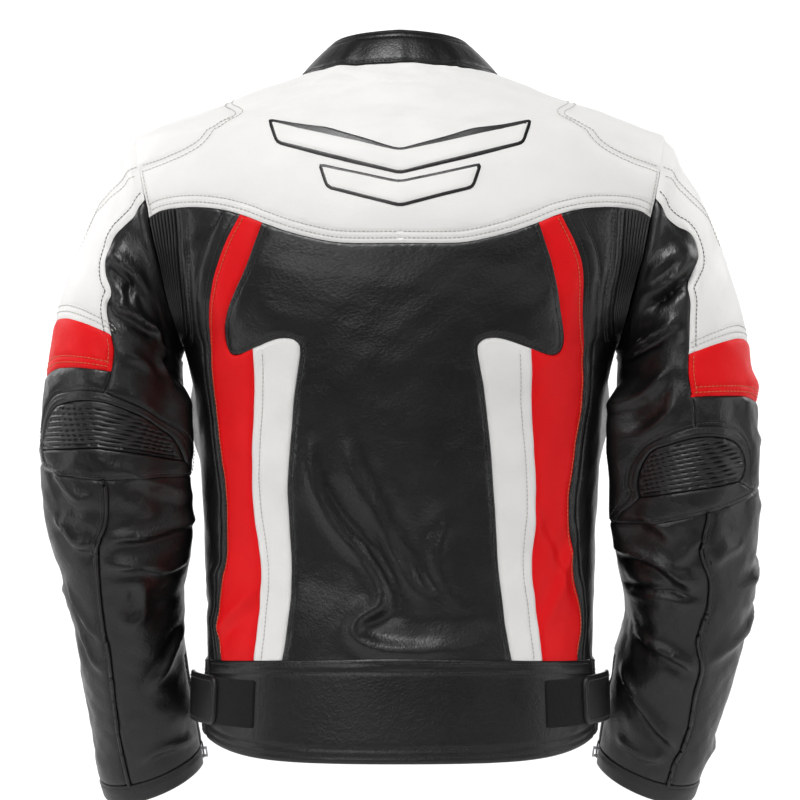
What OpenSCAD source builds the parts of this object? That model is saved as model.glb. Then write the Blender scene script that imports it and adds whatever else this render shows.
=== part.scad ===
// Leather riding jacket, size about 50 (chest 102 cm), built panel by panel.
//
// The wearer faces -Y, +Z is up and the wearer's left is +X.  The origin is the middle
// of the neck opening, level with the side neck points, where the shoulders carry it.
// Every leather panel is a patch of one body surface, given a thickness.  Depths are
// measured inwards from that surface, so a negative depth stands proud of it.

/* [Torso] */
// Half width at the hem
hem_half = 185; // [182:1:186]
// Half width at the waist
waist_half = 181; // [178:1:182]
// Front-to-back depth of the front half at the neck
front_depth = 108; // [105:1:110]
// How far the front leans out from neck to hem
front_lean = 20; // [16:1:22]

/* [Leather] */
// Thickness of the outer leather
leather = 2; // [1.4:0.1:2.2]
// Gap left at each seam between two panels
seam = 0.7; // [0.4:0.1:1]
// Depth of the lining below the outer surface
lining_depth = 6; // [5.6:0.1:6.4]
// Thickness of the lining
lining_t = 1.2; // [0.8:0.1:1.3]
// Thickness of the foam armour
armour_t = 9; // [6:1:10]

/* [Zips] */
// Pitch of the teeth of the main zip
main_pitch = 5; // [4:0.5:6]
// Length of the pocket zips
pocket_zip_len = 132; // [120:1:136]
// Length of the cuff zips
cuff_zip_len = 112; // [100:1:118]

/* [Collar] */
// Half width of the neck opening at the collar seam
neck_half = 94; // [92:1:96]
// Half width of the collar at its upper edge
collar_top_half = 62; // [58:1:66]

/* [Hidden] */
$fn = 24;

black = [0.09, 0.09, 0.09];
white = [0.93, 0.92, 0.90];
red = [0.86, 0.05, 0.07];
metal = [0.55, 0.56, 0.58];
cloth = [0.16, 0.16, 0.18];
foam = [0.35, 0.37, 0.40];

// ---- Torso: levels, half widths and depths ------------------------------------------
hem_z = -636;
band_z = -540;          // top of the waistband
armpit_z = -256;
shoulder_z = -60;
neck_side_z = -3;       // where the shoulder seam meets the collar
neck_front_z = -62;
back_power = 2.3;       // squareness of the cross-section, back half
front_power = 2.6;      // and front half

// Armhole: an oval in a plane that leans out towards the shoulder.
arm_x = 225.5;
arm_z = (armpit_z + shoulder_z) / 2;
arm_lean = 0.2296;      // x gained per mm of height
arm_d = 80;             // half its depth, front to back

// [z, half width], below the armpit.
side_widths = [[hem_z - 10, hem_half + 1], [hem_z, hem_half], [-590, waist_half + 2],
    [-548, waist_half], [-500, waist_half], [-456, waist_half + 1], [-400, 184.5],
    [-353, 187.5], [-300, 193], [-275, 198], [armpit_z, 203]];
// [z, depth] of the back half.
back_depths = [[hem_z - 10, 119], [hem_z, 118], [band_z, 112], [-456, 110], [-353, 121],
    [-266, 133], [-200, 138], [-150, 136], [-100, 122], [shoulder_z, 105], [-30, 90],
    [0, 72], [14, 65]];
// [z, depth] of the front half, which is straight below the neck.
front_depths = [[hem_z, front_depth + front_lean], [neck_front_z, front_depth], [-30, 92],
    [0, 72], [14, 65]];

function armhole_x(z) = arm_x + (z - arm_z) * arm_lean;
function armhole_y(z) = arm_d * sqrt(max(0, 1 - pow(2 * (z - arm_z) / (shoulder_z - armpit_z), 2)));
function shoulder_x(z) = neck_half + (armhole_x(shoulder_z) - neck_half)
    * (z - neck_side_z) / (shoulder_z - neck_side_z);
function edge_x(z) = z < armpit_z ? lookup(z, side_widths)
    : z < shoulder_z ? armhole_x(z) : shoulder_x(min(z, 8));
function depth_at(z, front) = lookup(z, front ? front_depths : back_depths);
function power(front) = front ? front_power : back_power;
// Half width of the full cross-section, which above the armpit runs on past the armhole.
function half_width(z, front) = z < armpit_z || z > shoulder_z ? edge_x(z)
    : armhole_x(z) / pow(1 - pow(armhole_y(z) / depth_at(z, front), power(front)),
        1 / power(front));
// 0 on the upright walls and 1 on the shoulders, where thickness is measured downwards.
function flatness(z) = min(1, max(0, (z + 130) / 80));

// A point of the body surface at width x and height z, at a depth below it.
function torso_pt(x, z, front, depth = 0) =
    let (a = half_width(z, front), b = depth_at(z, front), n = power(front),
        s = flatness(z), inset = depth * (1 - s),
        y = b * pow(max(0, 1 - pow(min(1, abs(x) / a), n)), 1 / n))
    [x * (a - inset) / a, (front ? -1 : 1) * y * (b - inset) / b, z - depth * s];

// The same by angle: 0 is the middle of the back, 90 the left side, 180 the front.
function torso_q(q, z, depth = 0) =
    torso_pt(edge_x(z) * sin(q), z, abs(q) > 90, depth);

// ---- Seam lines -----------------------------------------------------------------------
yoke_edge = [[0, -166], [42, -166], [65, -164], [96.5, -156.5], [123.5, -147],
    [143.5, -139], [169, -133], [196, -131.5], [217, -134], [240, -145]];
front_yoke_edge = [[0, -172], [60, -164], [120, -148], [180, -138], [240, -145]];
// Each list is [z, x]: the black back panel's own edge, and what lies outside it.
back_panel_edge = [[band_z, 105], [-503, 98], [-458, 94], [-395, 93.5], [-340, 90],
    [-297, 85.5], [-262, 81], [-258, 150], [-249, 154], [-220, 149], [-183, 137],
    [-146, 124], [-120, 115]];
white_edge = [[band_z, 132], [-494, 127], [-458, 124], [-395, 129.5], [-351, 128.5],
    [-306, 126], [-261, 127]];
red_edge = [[band_z, 165], [-516, 168.5], [-494, 167.5], [-449, 160], [-404, 158],
    [-364, 162], [-311, 169], [-261, 171], [-216, 169], [-188, 165.5], [-165, 157.5],
    [-139, 144]];
gusset_edge = [[armpit_z, 201], [-225, 197], [-182, 201], [-132, 205]];
front_seam = [[band_z, 112], [-262, 127], [-120, 138]];
front_red_edge = [[band_z, 146], [-262, 160], [-120, 172]];

function yoke_z(x) = lookup(abs(x), yoke_edge);
function front_yoke_z(x) = lookup(abs(x), front_yoke_edge);

// ---- Closed sheets from two grids of points ------------------------------------------
// f(u, v, depth) gives a point; u and v run from 0 to 1.
module sheet(f, nu, nv, top, bottom, flip = false) {
    cols = nu + 1;
    count = cols * (nv + 1);
    pts = [for (d = [top, bottom]) for (j = [0:nv]) for (i = [0:nu]) f(i / nu, j / nv, d)];
    quad = function (a, b, c, d) [[a, b, c], [a, c, d]];
    faces = [
        for (j = [0:nv - 1]) for (i = [0:nu - 1])
            let (a = j * cols + i, b = a + 1, c = b + cols, d = a + cols)
            each concat(quad(a, d, c, b), quad(count + a, count + b, count + c, count + d)),
        for (i = [0:nu - 1])
            let (a = i, b = i + 1, c = nv * cols + i, d = c + 1)
            each concat(quad(a, b, count + b, count + a), quad(d, c, count + c, count + d)),
        for (j = [0:nv - 1])
            let (a = j * cols, b = a + cols, c = a + nu, d = b + nu)
            each concat(quad(b, a, count + a, count + b), quad(c, d, count + d, count + c))
    ];
    polyhedron(pts, flip ? faces : [for (t = faces) [t[0], t[2], t[1]]], convexity = 8);
}

// A torso panel between two seam lines.  rows is a list of heights; left(z) and right(z)
// give x, and top(x), where given, is the height that the last row is bent up to.
module panel(rows, left, right, nu = 8, front = false, top = undef, depth = 0,
        thick = leather, bend_from = -262) {
    last = rows[len(rows) - 1];
    lift = function (x, z) is_undef(top) || z <= bend_from ? z
        : bend_from + (z - bend_from) * (top(x) - bend_from) / (last - bend_from);
    f = function (u, v, d)
        let (z = rows[round(v * (len(rows) - 1))], x0 = left(z) + u * (right(z) - left(z)),
            z1 = lift(x0, z), x = left(z1) + u * (right(z1) - left(z1)))
        torso_pt(x, lift(x, z), front, d);
    sheet(f, nu, len(rows) - 1, depth, depth + thick, flip = front);
}

// Both halves of a mirrored pair.
module both() {
    children();
    mirror([1, 0, 0]) children();
}
module side(left) {
    if (left) children();
    else mirror([1, 0, 0]) children();
}

// ---- Outer leather: torso -------------------------------------------------------------
low = band_z + 2;
panel_rows = [low, -516, -494, -449, -404, -364, -311, -265];
upper_rows = [-261, -249, -225, -216, -188, -182, -165, -139];
yoke_gap = 1.8;         // between the yokes and the panels below them
gusset_rows = [-252, -244, -225, -182, -155, -132];

module back_panel() color(black) {
    gap = function (z) lookup(z, back_panel_edge) - seam / 2;
    panel(concat(panel_rows, [-262, -258], [for (z = upper_rows) if (z > -250) z]),
        function (z) -gap(z), gap, nu = 10,
        top = function (x) yoke_z(x) - yoke_gap);
}

module back_white_stripes() color(white) both()
    panel(panel_rows, function (z) lookup(z, back_panel_edge) + seam / 2,
        function (z) lookup(z, white_edge) - seam / 2, nu = 3);

module back_red_stripes() color(red) both() {
    panel(panel_rows, function (z) lookup(z, white_edge) + seam / 2,
        function (z) lookup(z, red_edge) - seam / 2, nu = 3);
    panel(upper_rows,
        function (z) (z < -257 ? 150 : lookup(z, back_panel_edge)) + seam / 2,
        function (z) lookup(z, red_edge) - seam / 2, nu = 3,
        top = function (x) yoke_z(x) - yoke_gap);
}

// Wraps round under the arm, with a tongue up the back beside the gusset and one in front.
module side_panel(left) color(black) side(left) {
    wrap_rows = [low, -516, -494, -449, -404, -364, -311, -268];
    f = function (u, v, d)
        let (z = wrap_rows[round(v * 7)],
            q0 = asin((lookup(z, red_edge) + seam / 2) / edge_x(z)),
            q1 = 180 - asin((lookup(z, front_red_edge) + seam / 2) / edge_x(z)))
        torso_q(q0 + u * (q1 - q0), z, d);
    sheet(f, 14, 7, 0, leather);
    panel(concat([-266], upper_rows), function (z) lookup(z, red_edge) + seam / 2,
        function (z) lookup(z, gusset_edge) - (z < armpit_z ? 3 : seam / 2), nu = 4,
        top = function (x) yoke_z(x) - yoke_gap);
    panel(concat([-266], gusset_rows), function (z) lookup(z, front_red_edge) + seam / 2,
        function (z) (z < armpit_z ? 198 : armhole_x(z) - seam), nu = 5,
        front = true, top = function (x) front_yoke_z(x) - yoke_gap);
}

module stretch_gussets() color(black) both()
    panel(gusset_rows, function (z) lookup(z, gusset_edge) + 1.5 * seam,
        function (z) armhole_x(z) - seam, nu = 4, top = function (x) yoke_z(x) - yoke_gap,
        bend_from = -250);

// The yokes run from the curved seam below up to the neckline and the shoulder seam.
neck_rise = 6;          // height of the back neckline's middle above its ends
neck_drop = [[0, neck_front_z], [10, -56], [20, -43], [30, -30], [45, -16], [60, -8],
    [90, neck_side_z]];
function neckline_z(x, front) = let (q = asin(min(1, abs(x) / neck_half)))
    front ? lookup(q, neck_drop) : neck_side_z + neck_rise * pow(cos(q), 2);
// Column j of a yoke: 0 is at the middle, 6 at the neck point and 12 at the armhole.
yoke_tip = armhole_x(shoulder_z);
function yoke_col(j, from) = let (q0 = asin(from / neck_half))
    j <= 6 ? neck_half * sin(q0 + (90 - q0) * j / 6)
        : neck_half + (yoke_tip - neck_half) * (j - 6) / 6;
function yoke_pt(j, v, front, edge, depth, from) =
    let (w = 1 - pow(1 - v, 2), ax = yoke_col(abs(j), from),
        low_x = from + (ax - from) * (armhole_x(-140) - from) / (yoke_tip - from),
        low_z = edge(low_x) + seam / 2,
        top = abs(j) <= 6 ? neckline_z(ax, front)
            : neck_side_z + (shoulder_z - neck_side_z) * (abs(j) - 6) / 6,
        z = low_z + w * (top - low_z),
        x = from + (ax - from) * (armhole_x(min(z, shoulder_z)) - seam * (1 - v) - from)
            / (yoke_tip - from),
        shy = 0.4 * v * (front ? -1 : 1))
    torso_pt((j < 0 ? -1 : 1) * x, z, front, depth) + [0, shy, 0];

module yoke_sheet(j0, front, depth, thick, edge, from = 0, nv = 9)
    sheet(function (u, v, d) yoke_pt(j0 + u * (12 - j0), v, front, edge, d, from),
        12 - j0, nv, depth, depth + thick, flip = front);

module back_yoke() color(white)
    yoke_sheet(-12, false, 0, leather, function (x) yoke_z(x));

front_edge_x = 9;       // where the fronts stop, either side of the main zip
module front_yokes() color(white) both()
    yoke_sheet(0, true, 0, leather, function (x) front_yoke_z(x), from = front_edge_x);

// The pocket zip sits in the seam between the front panel and the red stripe.
pocket_top = -385;
pocket_bottom = -520;
pocket_gap = 6.5;       // half the opening in the seam
function pocket_open(z) = z < pocket_top && z > pocket_bottom ? pocket_gap : seam / 2;
front_rows = [low, -521, -519.5, -449, -386, -384.5, -338, -262, -229, -200, -172, -138];

module front_panel(left) color(black) side(left)
    panel(front_rows, function (z) front_edge_x,
        function (z) lookup(z, front_seam) - pocket_open(z), nu = 7, front = true,
        top = function (x) front_yoke_z(x) - yoke_gap);

module front_red_stripes() color(red) both()
    panel(front_rows, function (z) lookup(z, front_seam) + pocket_open(z),
        function (z) lookup(z, front_red_edge) - seam / 2, nu = 3, front = true,
        top = function (x) front_yoke_z(x) - yoke_gap);

// ---- Waistband and its adjusters --------------------------------------------------------
band_proud = 1.2;       // the band lies over the panels' lower edge
adjuster_q = 76;        // where the back band stops, in degrees from the back
function band_bottom(q) = hem_z + 3 + 17 * pow(sin(min(90, abs(q))), 6);
module band_sheet(q0, q1, nu) {
    f = function (u, v, d) let (q = q0 + u * (q1 - q0),
            z = band_bottom(q) + v * (band_z - band_bottom(q)))
        torso_q(q, z, d);
    sheet(f, nu, 4, -band_proud, leather - band_proud);
}
module waistband_back() color(black) band_sheet(-adjuster_q, adjuster_q, 20);
module waistband_fronts() color(black) both()
    band_sheet(adjuster_q + 4, 180 - asin(front_edge_x / hem_half), 14);

tab_bottom = -597;
tab_top = -555;
module band_patch(q0, q1, z0, z1, depth, thick, nu = 6) {
    f = function (u, v, d) torso_q(q0 + u * (q1 - q0), z0 + v * (z1 - z0), d);
    sheet(f, nu, 2, depth, depth + thick);
}
module waist_loop_patches() color(cloth) both()
    band_patch(46, 71, tab_bottom, tab_top, -band_proud - 1.6, 1.3);

// The tab hinges where it leaves the front band, and lies back over the loop patch.
tab_root_q = 88;
tab_tip_q = 63;
module waist_tab(left) color(black) side(left)
    band_patch(tab_tip_q, tab_root_q, tab_bottom, tab_top, -band_proud - 4.6, 2.4, nu = 8);

// ---- Collar ---------------------------------------------------------------------------
collar_rise = [[0, -20], [30, -9], [60, 10], [90, 28], [135, 34], [180, 37]];
collar_front_y = 91;    // how far its upper edge reaches forward
collar_back_y = 50;     // and back
// psi is 0 at the middle of the front, 90 at the left and 180 at the middle of the back.
function collar_foot(psi) = let (x = neck_half * sin(psi), front = cos(psi) > 0)
    torso_pt(x, neckline_z(x, front), front) + [0, 0, 0.6];
function collar_head(psi) = [collar_top_half * sin(psi),
    (cos(psi) > 0 ? -collar_front_y : -collar_back_y) * cos(psi),
    lookup(psi > 180 ? 360 - psi : psi, collar_rise)];
function collar_pt(psi, v, depth) = let (a = collar_foot(psi), b = collar_head(psi),
        p = a + v * (b - a), k = 1 - depth / norm([p[0], p[1]]))
    [p[0] * k, p[1] * k, p[2]];
module collar_sheet(depth, thick, v1, start)
    sheet(function (u, v, d) collar_pt(start + u * (360 - 2 * start), v * v1 + 0.02, d),
        29, 3, depth, depth + thick);
module collar() color(black) collar_sheet(0, leather, 0.98, 6);
module collar_lining() color(cloth) collar_sheet(leather + 0.6, 2.2, 0.94, 6);

// ---- Collar tab and snap ----------------------------------------------------------------
// The tab is sewn to the left collar front and snaps to the right one.
tab_root = [27, -101.5, -44];
collar_lean = 23;       // how far the collar's front leans back
tab_len = 54;
tab_height = 20;
tab_lift = 3.6;         // the tab's outer face stands this far off the collar
snap_at = [-45, 0, 0];  // from the tab's root
module collar_front() translate(tab_root) rotate([-collar_lean, 0, 0]) children();
module collar_tab() collar_front() {
    color(black) translate([0, -tab_lift, 0]) rotate([-90, 0, 0]) linear_extrude(leather)
        offset(5) offset(-5) translate([-tab_len, -tab_height / 2])
            square([tab_len, tab_height]);
    color(metal) translate(snap_at - [0, tab_lift + 0.2, 0]) rotate([90, 0, 0])
        cylinder(h = 2.4, r1 = 7, r2 = 5.5);
}
module collar_snap_stud() color(metal) collar_front() translate(snap_at + [0, 1.1, 0])
    rotate([90, 0, 0]) cylinder(h = 2.1, r = 4);

// ---- Lining, armour and inside fittings --------------------------------------------------
module torso_lining() color(cloth) {
    rows = [-618, -540, -456, -353, -300, -270, -262, -258];
    lining = function (q0, q1) function (u, v, d)
        let (z = rows[round(v * 7)]) torso_q(q0 + u * (q1 - q0), z, d);
    sheet(lining(-89.6, 89.6), 16, 7, lining_depth, lining_depth + lining_t);
    both() sheet(lining(90.4, 172), 8, 7, lining_depth, lining_depth + lining_t);
    yoke_sheet(-12, false, lining_depth, lining_t, function (x) armpit_z);
    both() yoke_sheet(1, true, lining_depth + 2.2, lining_t, function (x) armpit_z,
        from = front_edge_x, nv = 13);
}

inside_lining = lining_depth + lining_t + 0.8;
pad_depth = inside_lining + 1;
module back_protector() color(foam)
    panel([-430, -380, -320, -260, -200, -150],
        function (z) -lookup(z, [[-430, 60], [-320, 92], [-200, 104], [-150, 84]]),
        function (z) lookup(z, [[-430, 60], [-320, 92], [-200, 104], [-150, 84]]),
        nu = 8, depth = inside_lining, thick = armour_t);

module hanger_loop() color(black) translate([0, 66.8, -5.5]) rotate([14, 0, 0])
    rotate([90, 0, 0]) linear_extrude(1.6) difference() {
        square([58, 16], center = true);
        square([48, 8], center = true);
    }

// The short zip inside the back hem that joins the trousers.
module trouser_zip() color(cloth) {
    band_patch(-34, 34, -606, -588, inside_lining + 0.7, 1.2, nu = 16);
    band_patch(-32, 32, -611, -607, inside_lining + 0.3, 2, nu = 16);
}

// Two plain swept chevrons, one under the other, applied to the yoke.
emblem_half = [112, 66];    // half widths
emblem_tip_z = [-104, -134];
emblem_height = 24;
emblem_sweep = 26;          // how far the ends rise above the tip, per 100 mm
emblem_slant = 8;           // how far the ends lean outwards
emblem_lift = 1;            // the emblem's underside clears the yoke's flat facets
module back_emblem() color(white) for (s = [0, 1]) {
    f = function (u, v, d) let (across = 2 * u - 1, x = across * emblem_half[s],
            z = emblem_tip_z[s] + emblem_sweep * emblem_half[s] / 100 * abs(across))
        torso_pt(x + across * emblem_slant * v, z + v * emblem_height, false, d);
    sheet(f, 18, 2, -emblem_lift - 1.1, -emblem_lift);
}

// ---- Sleeves ---------------------------------------------------------------------------
// Rings down the sleeve: [outer x, outer z, inner x, inner z, centre y, half depth].
rings = [
    [armhole_x(shoulder_z), shoulder_z, armhole_x(armpit_z), armpit_z, 0, arm_d],
    [264, -90, 203.5, -261, 2, 79], [283, -122, 204.5, -266, 4, 78],
    [299, -160, 204.5, -273, 6, 77], [313, -200, 204, -282, 9, 76],
    [324, -240, 203, -295, 12, 74], [331, -285, 202, -318, 15, 72],
    [335, -330, 201, -346, 16, 70], [336, -378, 200, -385, 12, 68],
    [334, -428, 201, -430, 3, 65], [329, -478, 204, -474, -10, 62],
    [322, -528, 206, -518, -25, 59], [313, -578, 203, -560, -42, 56],
    [304, -624, 197, -600, -58, 53], [296, -660, 193, -630, -70, 51],
    [288, -688, 190, -656, -80, 50]
];
function ring(k, i) = lookup(k, [for (j = [0:len(rings) - 1]) [j, rings[j][i]]]);
function back_dip(k) = lookup(k, [[6, 0], [7, 2], [8, 8], [9, 12], [10, 15], [11, 17]]);
// psi is 0 on the outside of the arm, 90 at the back and 180 against the body.
function sleeve_pt(k, psi, depth = 0) =
    let (o = [ring(k, 0), 0, ring(k, 1)], i = [ring(k, 2), 0, ring(k, 3)],
        c = (o + i) / 2 + [0, ring(k, 4), 0], m = (o - i) / norm(o - i),
        e = [0, cos(back_dip(k)), -sin(back_dip(k))])
    c + m * (norm(o - i) / 2 - depth) * cos(psi) + e * (ring(k, 5) - depth) * sin(psi);

// A sleeve panel: from(k) and to(k) are its edges in degrees.
module sleeve_sheet(k0, k1, from, to, nu, nv, depth = 0, thick = leather)
    sheet(function (u, v, d) let (k = k0 + v * (k1 - k0), a = from(k), b = to(k))
        sleeve_pt(k, a + u * (b - a), d), nu, nv, depth, depth + thick);

first_k = 0.03;
band_k = 4.88;          // white above the red band, black below it
band_end_k = 5.9;
elbow_k = 6.15;         // the elbow section, which bends
rib_end_k = 7.55;
elbow_end_k = 8.6;
cuff_k = 14.36;
last_k = 15;
back_seam = 90;         // the white and red panels' edges, in degrees
front_seam_psi = -90;

module sleeve_outer(left) color(white) side(left)
    sleeve_sheet(first_k, band_k, function (k) front_seam_psi + 0.4,
        function (k) back_seam - 0.4, 12, 7);
module sleeve_inner(left) color(black) side(left)
    sleeve_sheet(first_k, elbow_k - 0.02, function (k) back_seam + 0.4,
        function (k) 360 + front_seam_psi - 0.4, 12, 9);
module sleeve_band(left) side(left) {
    color(red) sleeve_sheet(band_k + 0.03, band_end_k, function (k) front_seam_psi + 0.4,
        function (k) back_seam - 0.4, 12, 2);
    color(black) sleeve_sheet(band_end_k + 0.03, elbow_k - 0.02,
        function (k) front_seam_psi + 0.4, function (k) back_seam - 0.4, 12, 1);
}
rib_from = 28;
rib_to = 166;
module elbow_shell(left) color(black) side(left) {
    sleeve_sheet(elbow_k, rib_end_k, function (k) rib_to + 0.5,
        function (k) 360 + rib_from - 0.5, 14, 3);
    sleeve_sheet(rib_end_k + 0.03, elbow_end_k, function (k) -180, function (k) 179.4, 20, 2);
}
module elbow_rib_panel(left) color(black) side(left) {
    ribs = 9;
    sheet(function (u, v, d) sleeve_pt(elbow_k + v * (rib_end_k - elbow_k),
            rib_from + u * (rib_to - rib_from), d - (round(v * 2 * ribs) % 2) * 2 * sign(2 - d)),
        8, 2 * ribs, 1, 3);
}

// The forearm's inner seam opens below zip_k for the cuff zip.
zip_k = 11.7;
function zip_open(k) = k > zip_k ? 7.6 : 0.4;
forearm_seam = 68;
module forearm_panels(left) color(black) side(left) {
    k_list = [elbow_end_k + 0.04, 9.8, 10.8, zip_k - 0.02, zip_k + 0.02, 12.5, 13.4,
        cuff_k - 0.03];
    for (half = [0, 1]) {
        f = function (u, v, d) let (k = k_list[round(v * 7)],
                a = half ? -180 + zip_open(k) : forearm_seam + 0.4,
                b = half ? forearm_seam - 0.4 : 180 - zip_open(k))
            sleeve_pt(k, a + u * (b - a), d);
        sheet(f, half ? 14 : 7, 7, 0, leather);
    }
}
module cuff_band(left) color(black) side(left)
    sleeve_sheet(cuff_k, last_k, function (k) -180 + zip_open(k), function (k) 180 - zip_open(k),
        20, 2, depth = -0.8, thick = 2.8);

module sleeve_lining(left) color(cloth) side(left)
    sleeve_sheet(first_k + 0.15, elbow_k - 0.1, function (k) -180, function (k) 179.4, 24, 6,
        lining_depth, lining_t);
module forearm_lining(left) color(cloth) side(left)
    sleeve_sheet(elbow_end_k + 0.1, 14.7, function (k) -180 + 14, function (k) 180 - 14,
        22, 5, lining_depth, lining_t);
module shoulder_pad(left) color(foam) side(left)
    sleeve_sheet(0.5, 4, function (k) -54, function (k) 54, 7, 4, pad_depth, armour_t);
module elbow_pad(left) color(foam) side(left)
    sleeve_sheet(8.75, 11.2, function (k) 34, function (k) 140, 7, 4, pad_depth, armour_t);

// ---- Zips ------------------------------------------------------------------------------
// A zip's own frame: it runs down -Z from the origin, and -Y is its face.
module zip_frame(p0, p1, out) {
    down = (p1 - p0) / norm(p1 - p0);
    n0 = out - (out * down) * down;
    n = n0 / norm(n0);
    t = cross(-n, -down);
    multmatrix([[t[0], -n[0], -down[0], p0[0]], [t[1], -n[1], -down[1], p0[1]],
        [t[2], -n[2], -down[2], p0[2]]]) children();
}
zip_sunk = 2.8;         // how far the tape's middle lies below the leather's face
web_gap = 1.4;          // the slider's web runs in the gap between the two rows
module zip_tape(len, width) for (s = [-1, 1])
    translate([s * (4 + width / 2) - width / 2, zip_sunk - 0.3, -len]) cube([width, 0.6, len]);
module zip_teeth(len, pitch, reach = 3.6, thick = 2.4) for (s = [0, 1]) mirror([s, 0, 0])
    translate([0, zip_sunk + thick / 2, 0]) rotate([90, 0, 0]) linear_extrude(thick)
        polygon(concat([[reach + 0.3, 0], [reach + 0.3, -len]],
            [for (i = [floor(len / pitch) - 1:-1:0]) let (z = -pitch * (i + s / 2) - 1)
                each [[2.4, z - pitch * 0.55], [web_gap / 2, z - pitch * 0.5],
                    [web_gap / 2, z - pitch * 0.1], [2.4, z - pitch * 0.05]]]));
module zip_slider_body(len = 13, half = 5.6, thick = 2.4) color(metal) {
    face = thick / 2 + 0.35;
    for (s = [-1, 1]) translate([-half, zip_sunk + s * (face + 0.5) - 0.5, -len])
        cube([2 * half, 1, len]);
    for (s = [-1, 1], t = [-1, 1])
        translate([t * (half - 0.5) - 0.5, zip_sunk + (s > 0 ? 0.6 : -face - 0.5), -len])
            cube([1, face - 0.1, len]);
    translate([-0.4, zip_sunk - face - 0.5, -len]) cube([0.8, 2 * face + 1, len]);
    // the arch that the pull hangs from
    translate([-1.5, zip_sunk - face - 1, -len]) {
        for (z = [1.5, len - 3]) translate([0, -4.4, z]) cube([3, 4.6, 1.5]);
        translate([0, -5.4, 1.5]) cube([3, 1.2, len - 3]);
    }
}
pull_drop = 8;          // below the slider's top, to the pull's pivot
pull_y = -2.8;
pull_arm = 9;
module zip_pull_body(long = 24) color(metal) translate([0, pull_y, -pull_drop]) {
    rotate([0, 90, 0]) cylinder(h = 8.4, r = 0.8, center = true);
    for (t = [-1, 1]) translate([t * 3.4 - 0.8, -0.7, -pull_arm]) cube([1.6, 1.4, pull_arm]);
    translate([-4.2, -0.7, -long]) cube([8.4, 1.4, long - pull_arm + 0.5]);
}

zip_top = [0, -depth_at(neck_front_z - 4, true), neck_front_z - 4];
zip_low = [0, -depth_at(-630, true), -630];
main_len = norm(zip_low - zip_top) - 6;
module main_zip_frame() zip_frame(zip_top, zip_low, [0, -1, 0]) children();
module main_zip_tapes() color(cloth) main_zip_frame() translate([0, 0, -8])
    zip_tape(main_len - 8, 13);
module main_zip_teeth() color(metal) main_zip_frame() translate([0, 0, -10])
    zip_teeth(main_len - 14, main_pitch);
module main_zip_slider() main_zip_frame() translate([0, 0, -12]) zip_slider_body();
module main_zip_pull() main_zip_frame() translate([0, 0, -12]) zip_pull_body();

function seam_point(z) = torso_pt(lookup(z, front_seam), z, true, 0.9);
module pocket_frame() {
    p0 = seam_point(pocket_top - 1);
    p1 = seam_point(pocket_bottom + 1);
    zip_frame(p0, p1, [0.42, -0.91, 0]) children();
}
module pocket_zips() color(cloth) both() pocket_frame() {
    zip_tape(pocket_zip_len, 6);
    zip_teeth(pocket_zip_len, 6);
}
module pocket_zip_slider(left) side(left) pocket_frame() translate([0, 0, -3]) zip_slider_body();
module pocket_zip_pull(left) side(left) pocket_frame() translate([0, 0, -3]) zip_pull_body(20);

module cuff_frame() zip_frame(sleeve_pt(zip_k + 0.1, 180, 0.8), sleeve_pt(last_k, 180, 0.8),
    [-1, 0, -0.1]) children();
module cuff_zip(left) color(cloth) side(left) cuff_frame() {
    zip_tape(cuff_zip_len, 4);
    zip_teeth(cuff_zip_len, 6);
}
module cuff_zip_slider(left) side(left) cuff_frame()
    translate([0, 0, -cuff_zip_len + 15]) zip_slider_body();

back_panel();
back_yoke();
back_white_stripes();
back_red_stripes();
side_panel(true);  // side_panel_left
side_panel(false);  // side_panel_right
stretch_gussets();
front_yokes();
front_panel(true);  // front_panel_left
front_panel(false);  // front_panel_right
front_red_stripes();
collar();
collar_lining();
waistband_back();
waistband_fronts();
torso_lining();
back_protector();
hanger_loop();
main_zip_tapes();
main_zip_teeth();
waist_loop_patches();
pocket_zips();
trouser_zip();
back_emblem();
collar_snap_stud();
main_zip_slider();
main_zip_pull();
pocket_zip_slider(true);  // pocket_zip_slider_left
pocket_zip_slider(false);  // pocket_zip_slider_right
pocket_zip_pull(true);  // pocket_zip_pull_left
pocket_zip_pull(false);  // pocket_zip_pull_right
collar_tab();
waist_tab(true);  // waist_tab_left
waist_tab(false);  // waist_tab_right
sleeve_outer(true);  // sleeve_outer_left
sleeve_outer(false);  // sleeve_outer_right
sleeve_inner(true);  // sleeve_inner_left
sleeve_inner(false);  // sleeve_inner_right
sleeve_band(true);  // sleeve_band_left
sleeve_band(false);  // sleeve_band_right
elbow_shell(true);  // elbow_shell_left
elbow_shell(false);  // elbow_shell_right
elbow_rib_panel(true);  // elbow_rib_panel_left
elbow_rib_panel(false);  // elbow_rib_panel_right
forearm_panels(true);  // forearm_panels_left
forearm_panels(false);  // forearm_panels_right
cuff_band(true);  // cuff_band_left
cuff_band(false);  // cuff_band_right
sleeve_lining(true);  // sleeve_lining_left
sleeve_lining(false);  // sleeve_lining_right
forearm_lining(true);  // forearm_lining_left
forearm_lining(false);  // forearm_lining_right
shoulder_pad(true);  // shoulder_pad_left
shoulder_pad(false);  // shoulder_pad_right
elbow_pad(true);  // elbow_pad_left
elbow_pad(false);  // elbow_pad_right
cuff_zip(true);  // cuff_zip_left
cuff_zip(false);  // cuff_zip_right
cuff_zip_slider(true);  // cuff_zip_slider_left
cuff_zip_slider(false);  // cuff_zip_slider_right
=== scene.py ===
"""The leather riding jacket, seen from behind: panels cut from folded body surfaces."""

import math

import bpy
import numpy as np
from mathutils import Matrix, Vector
from mathutils.geometry import delaunay_2d_cdt


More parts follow.
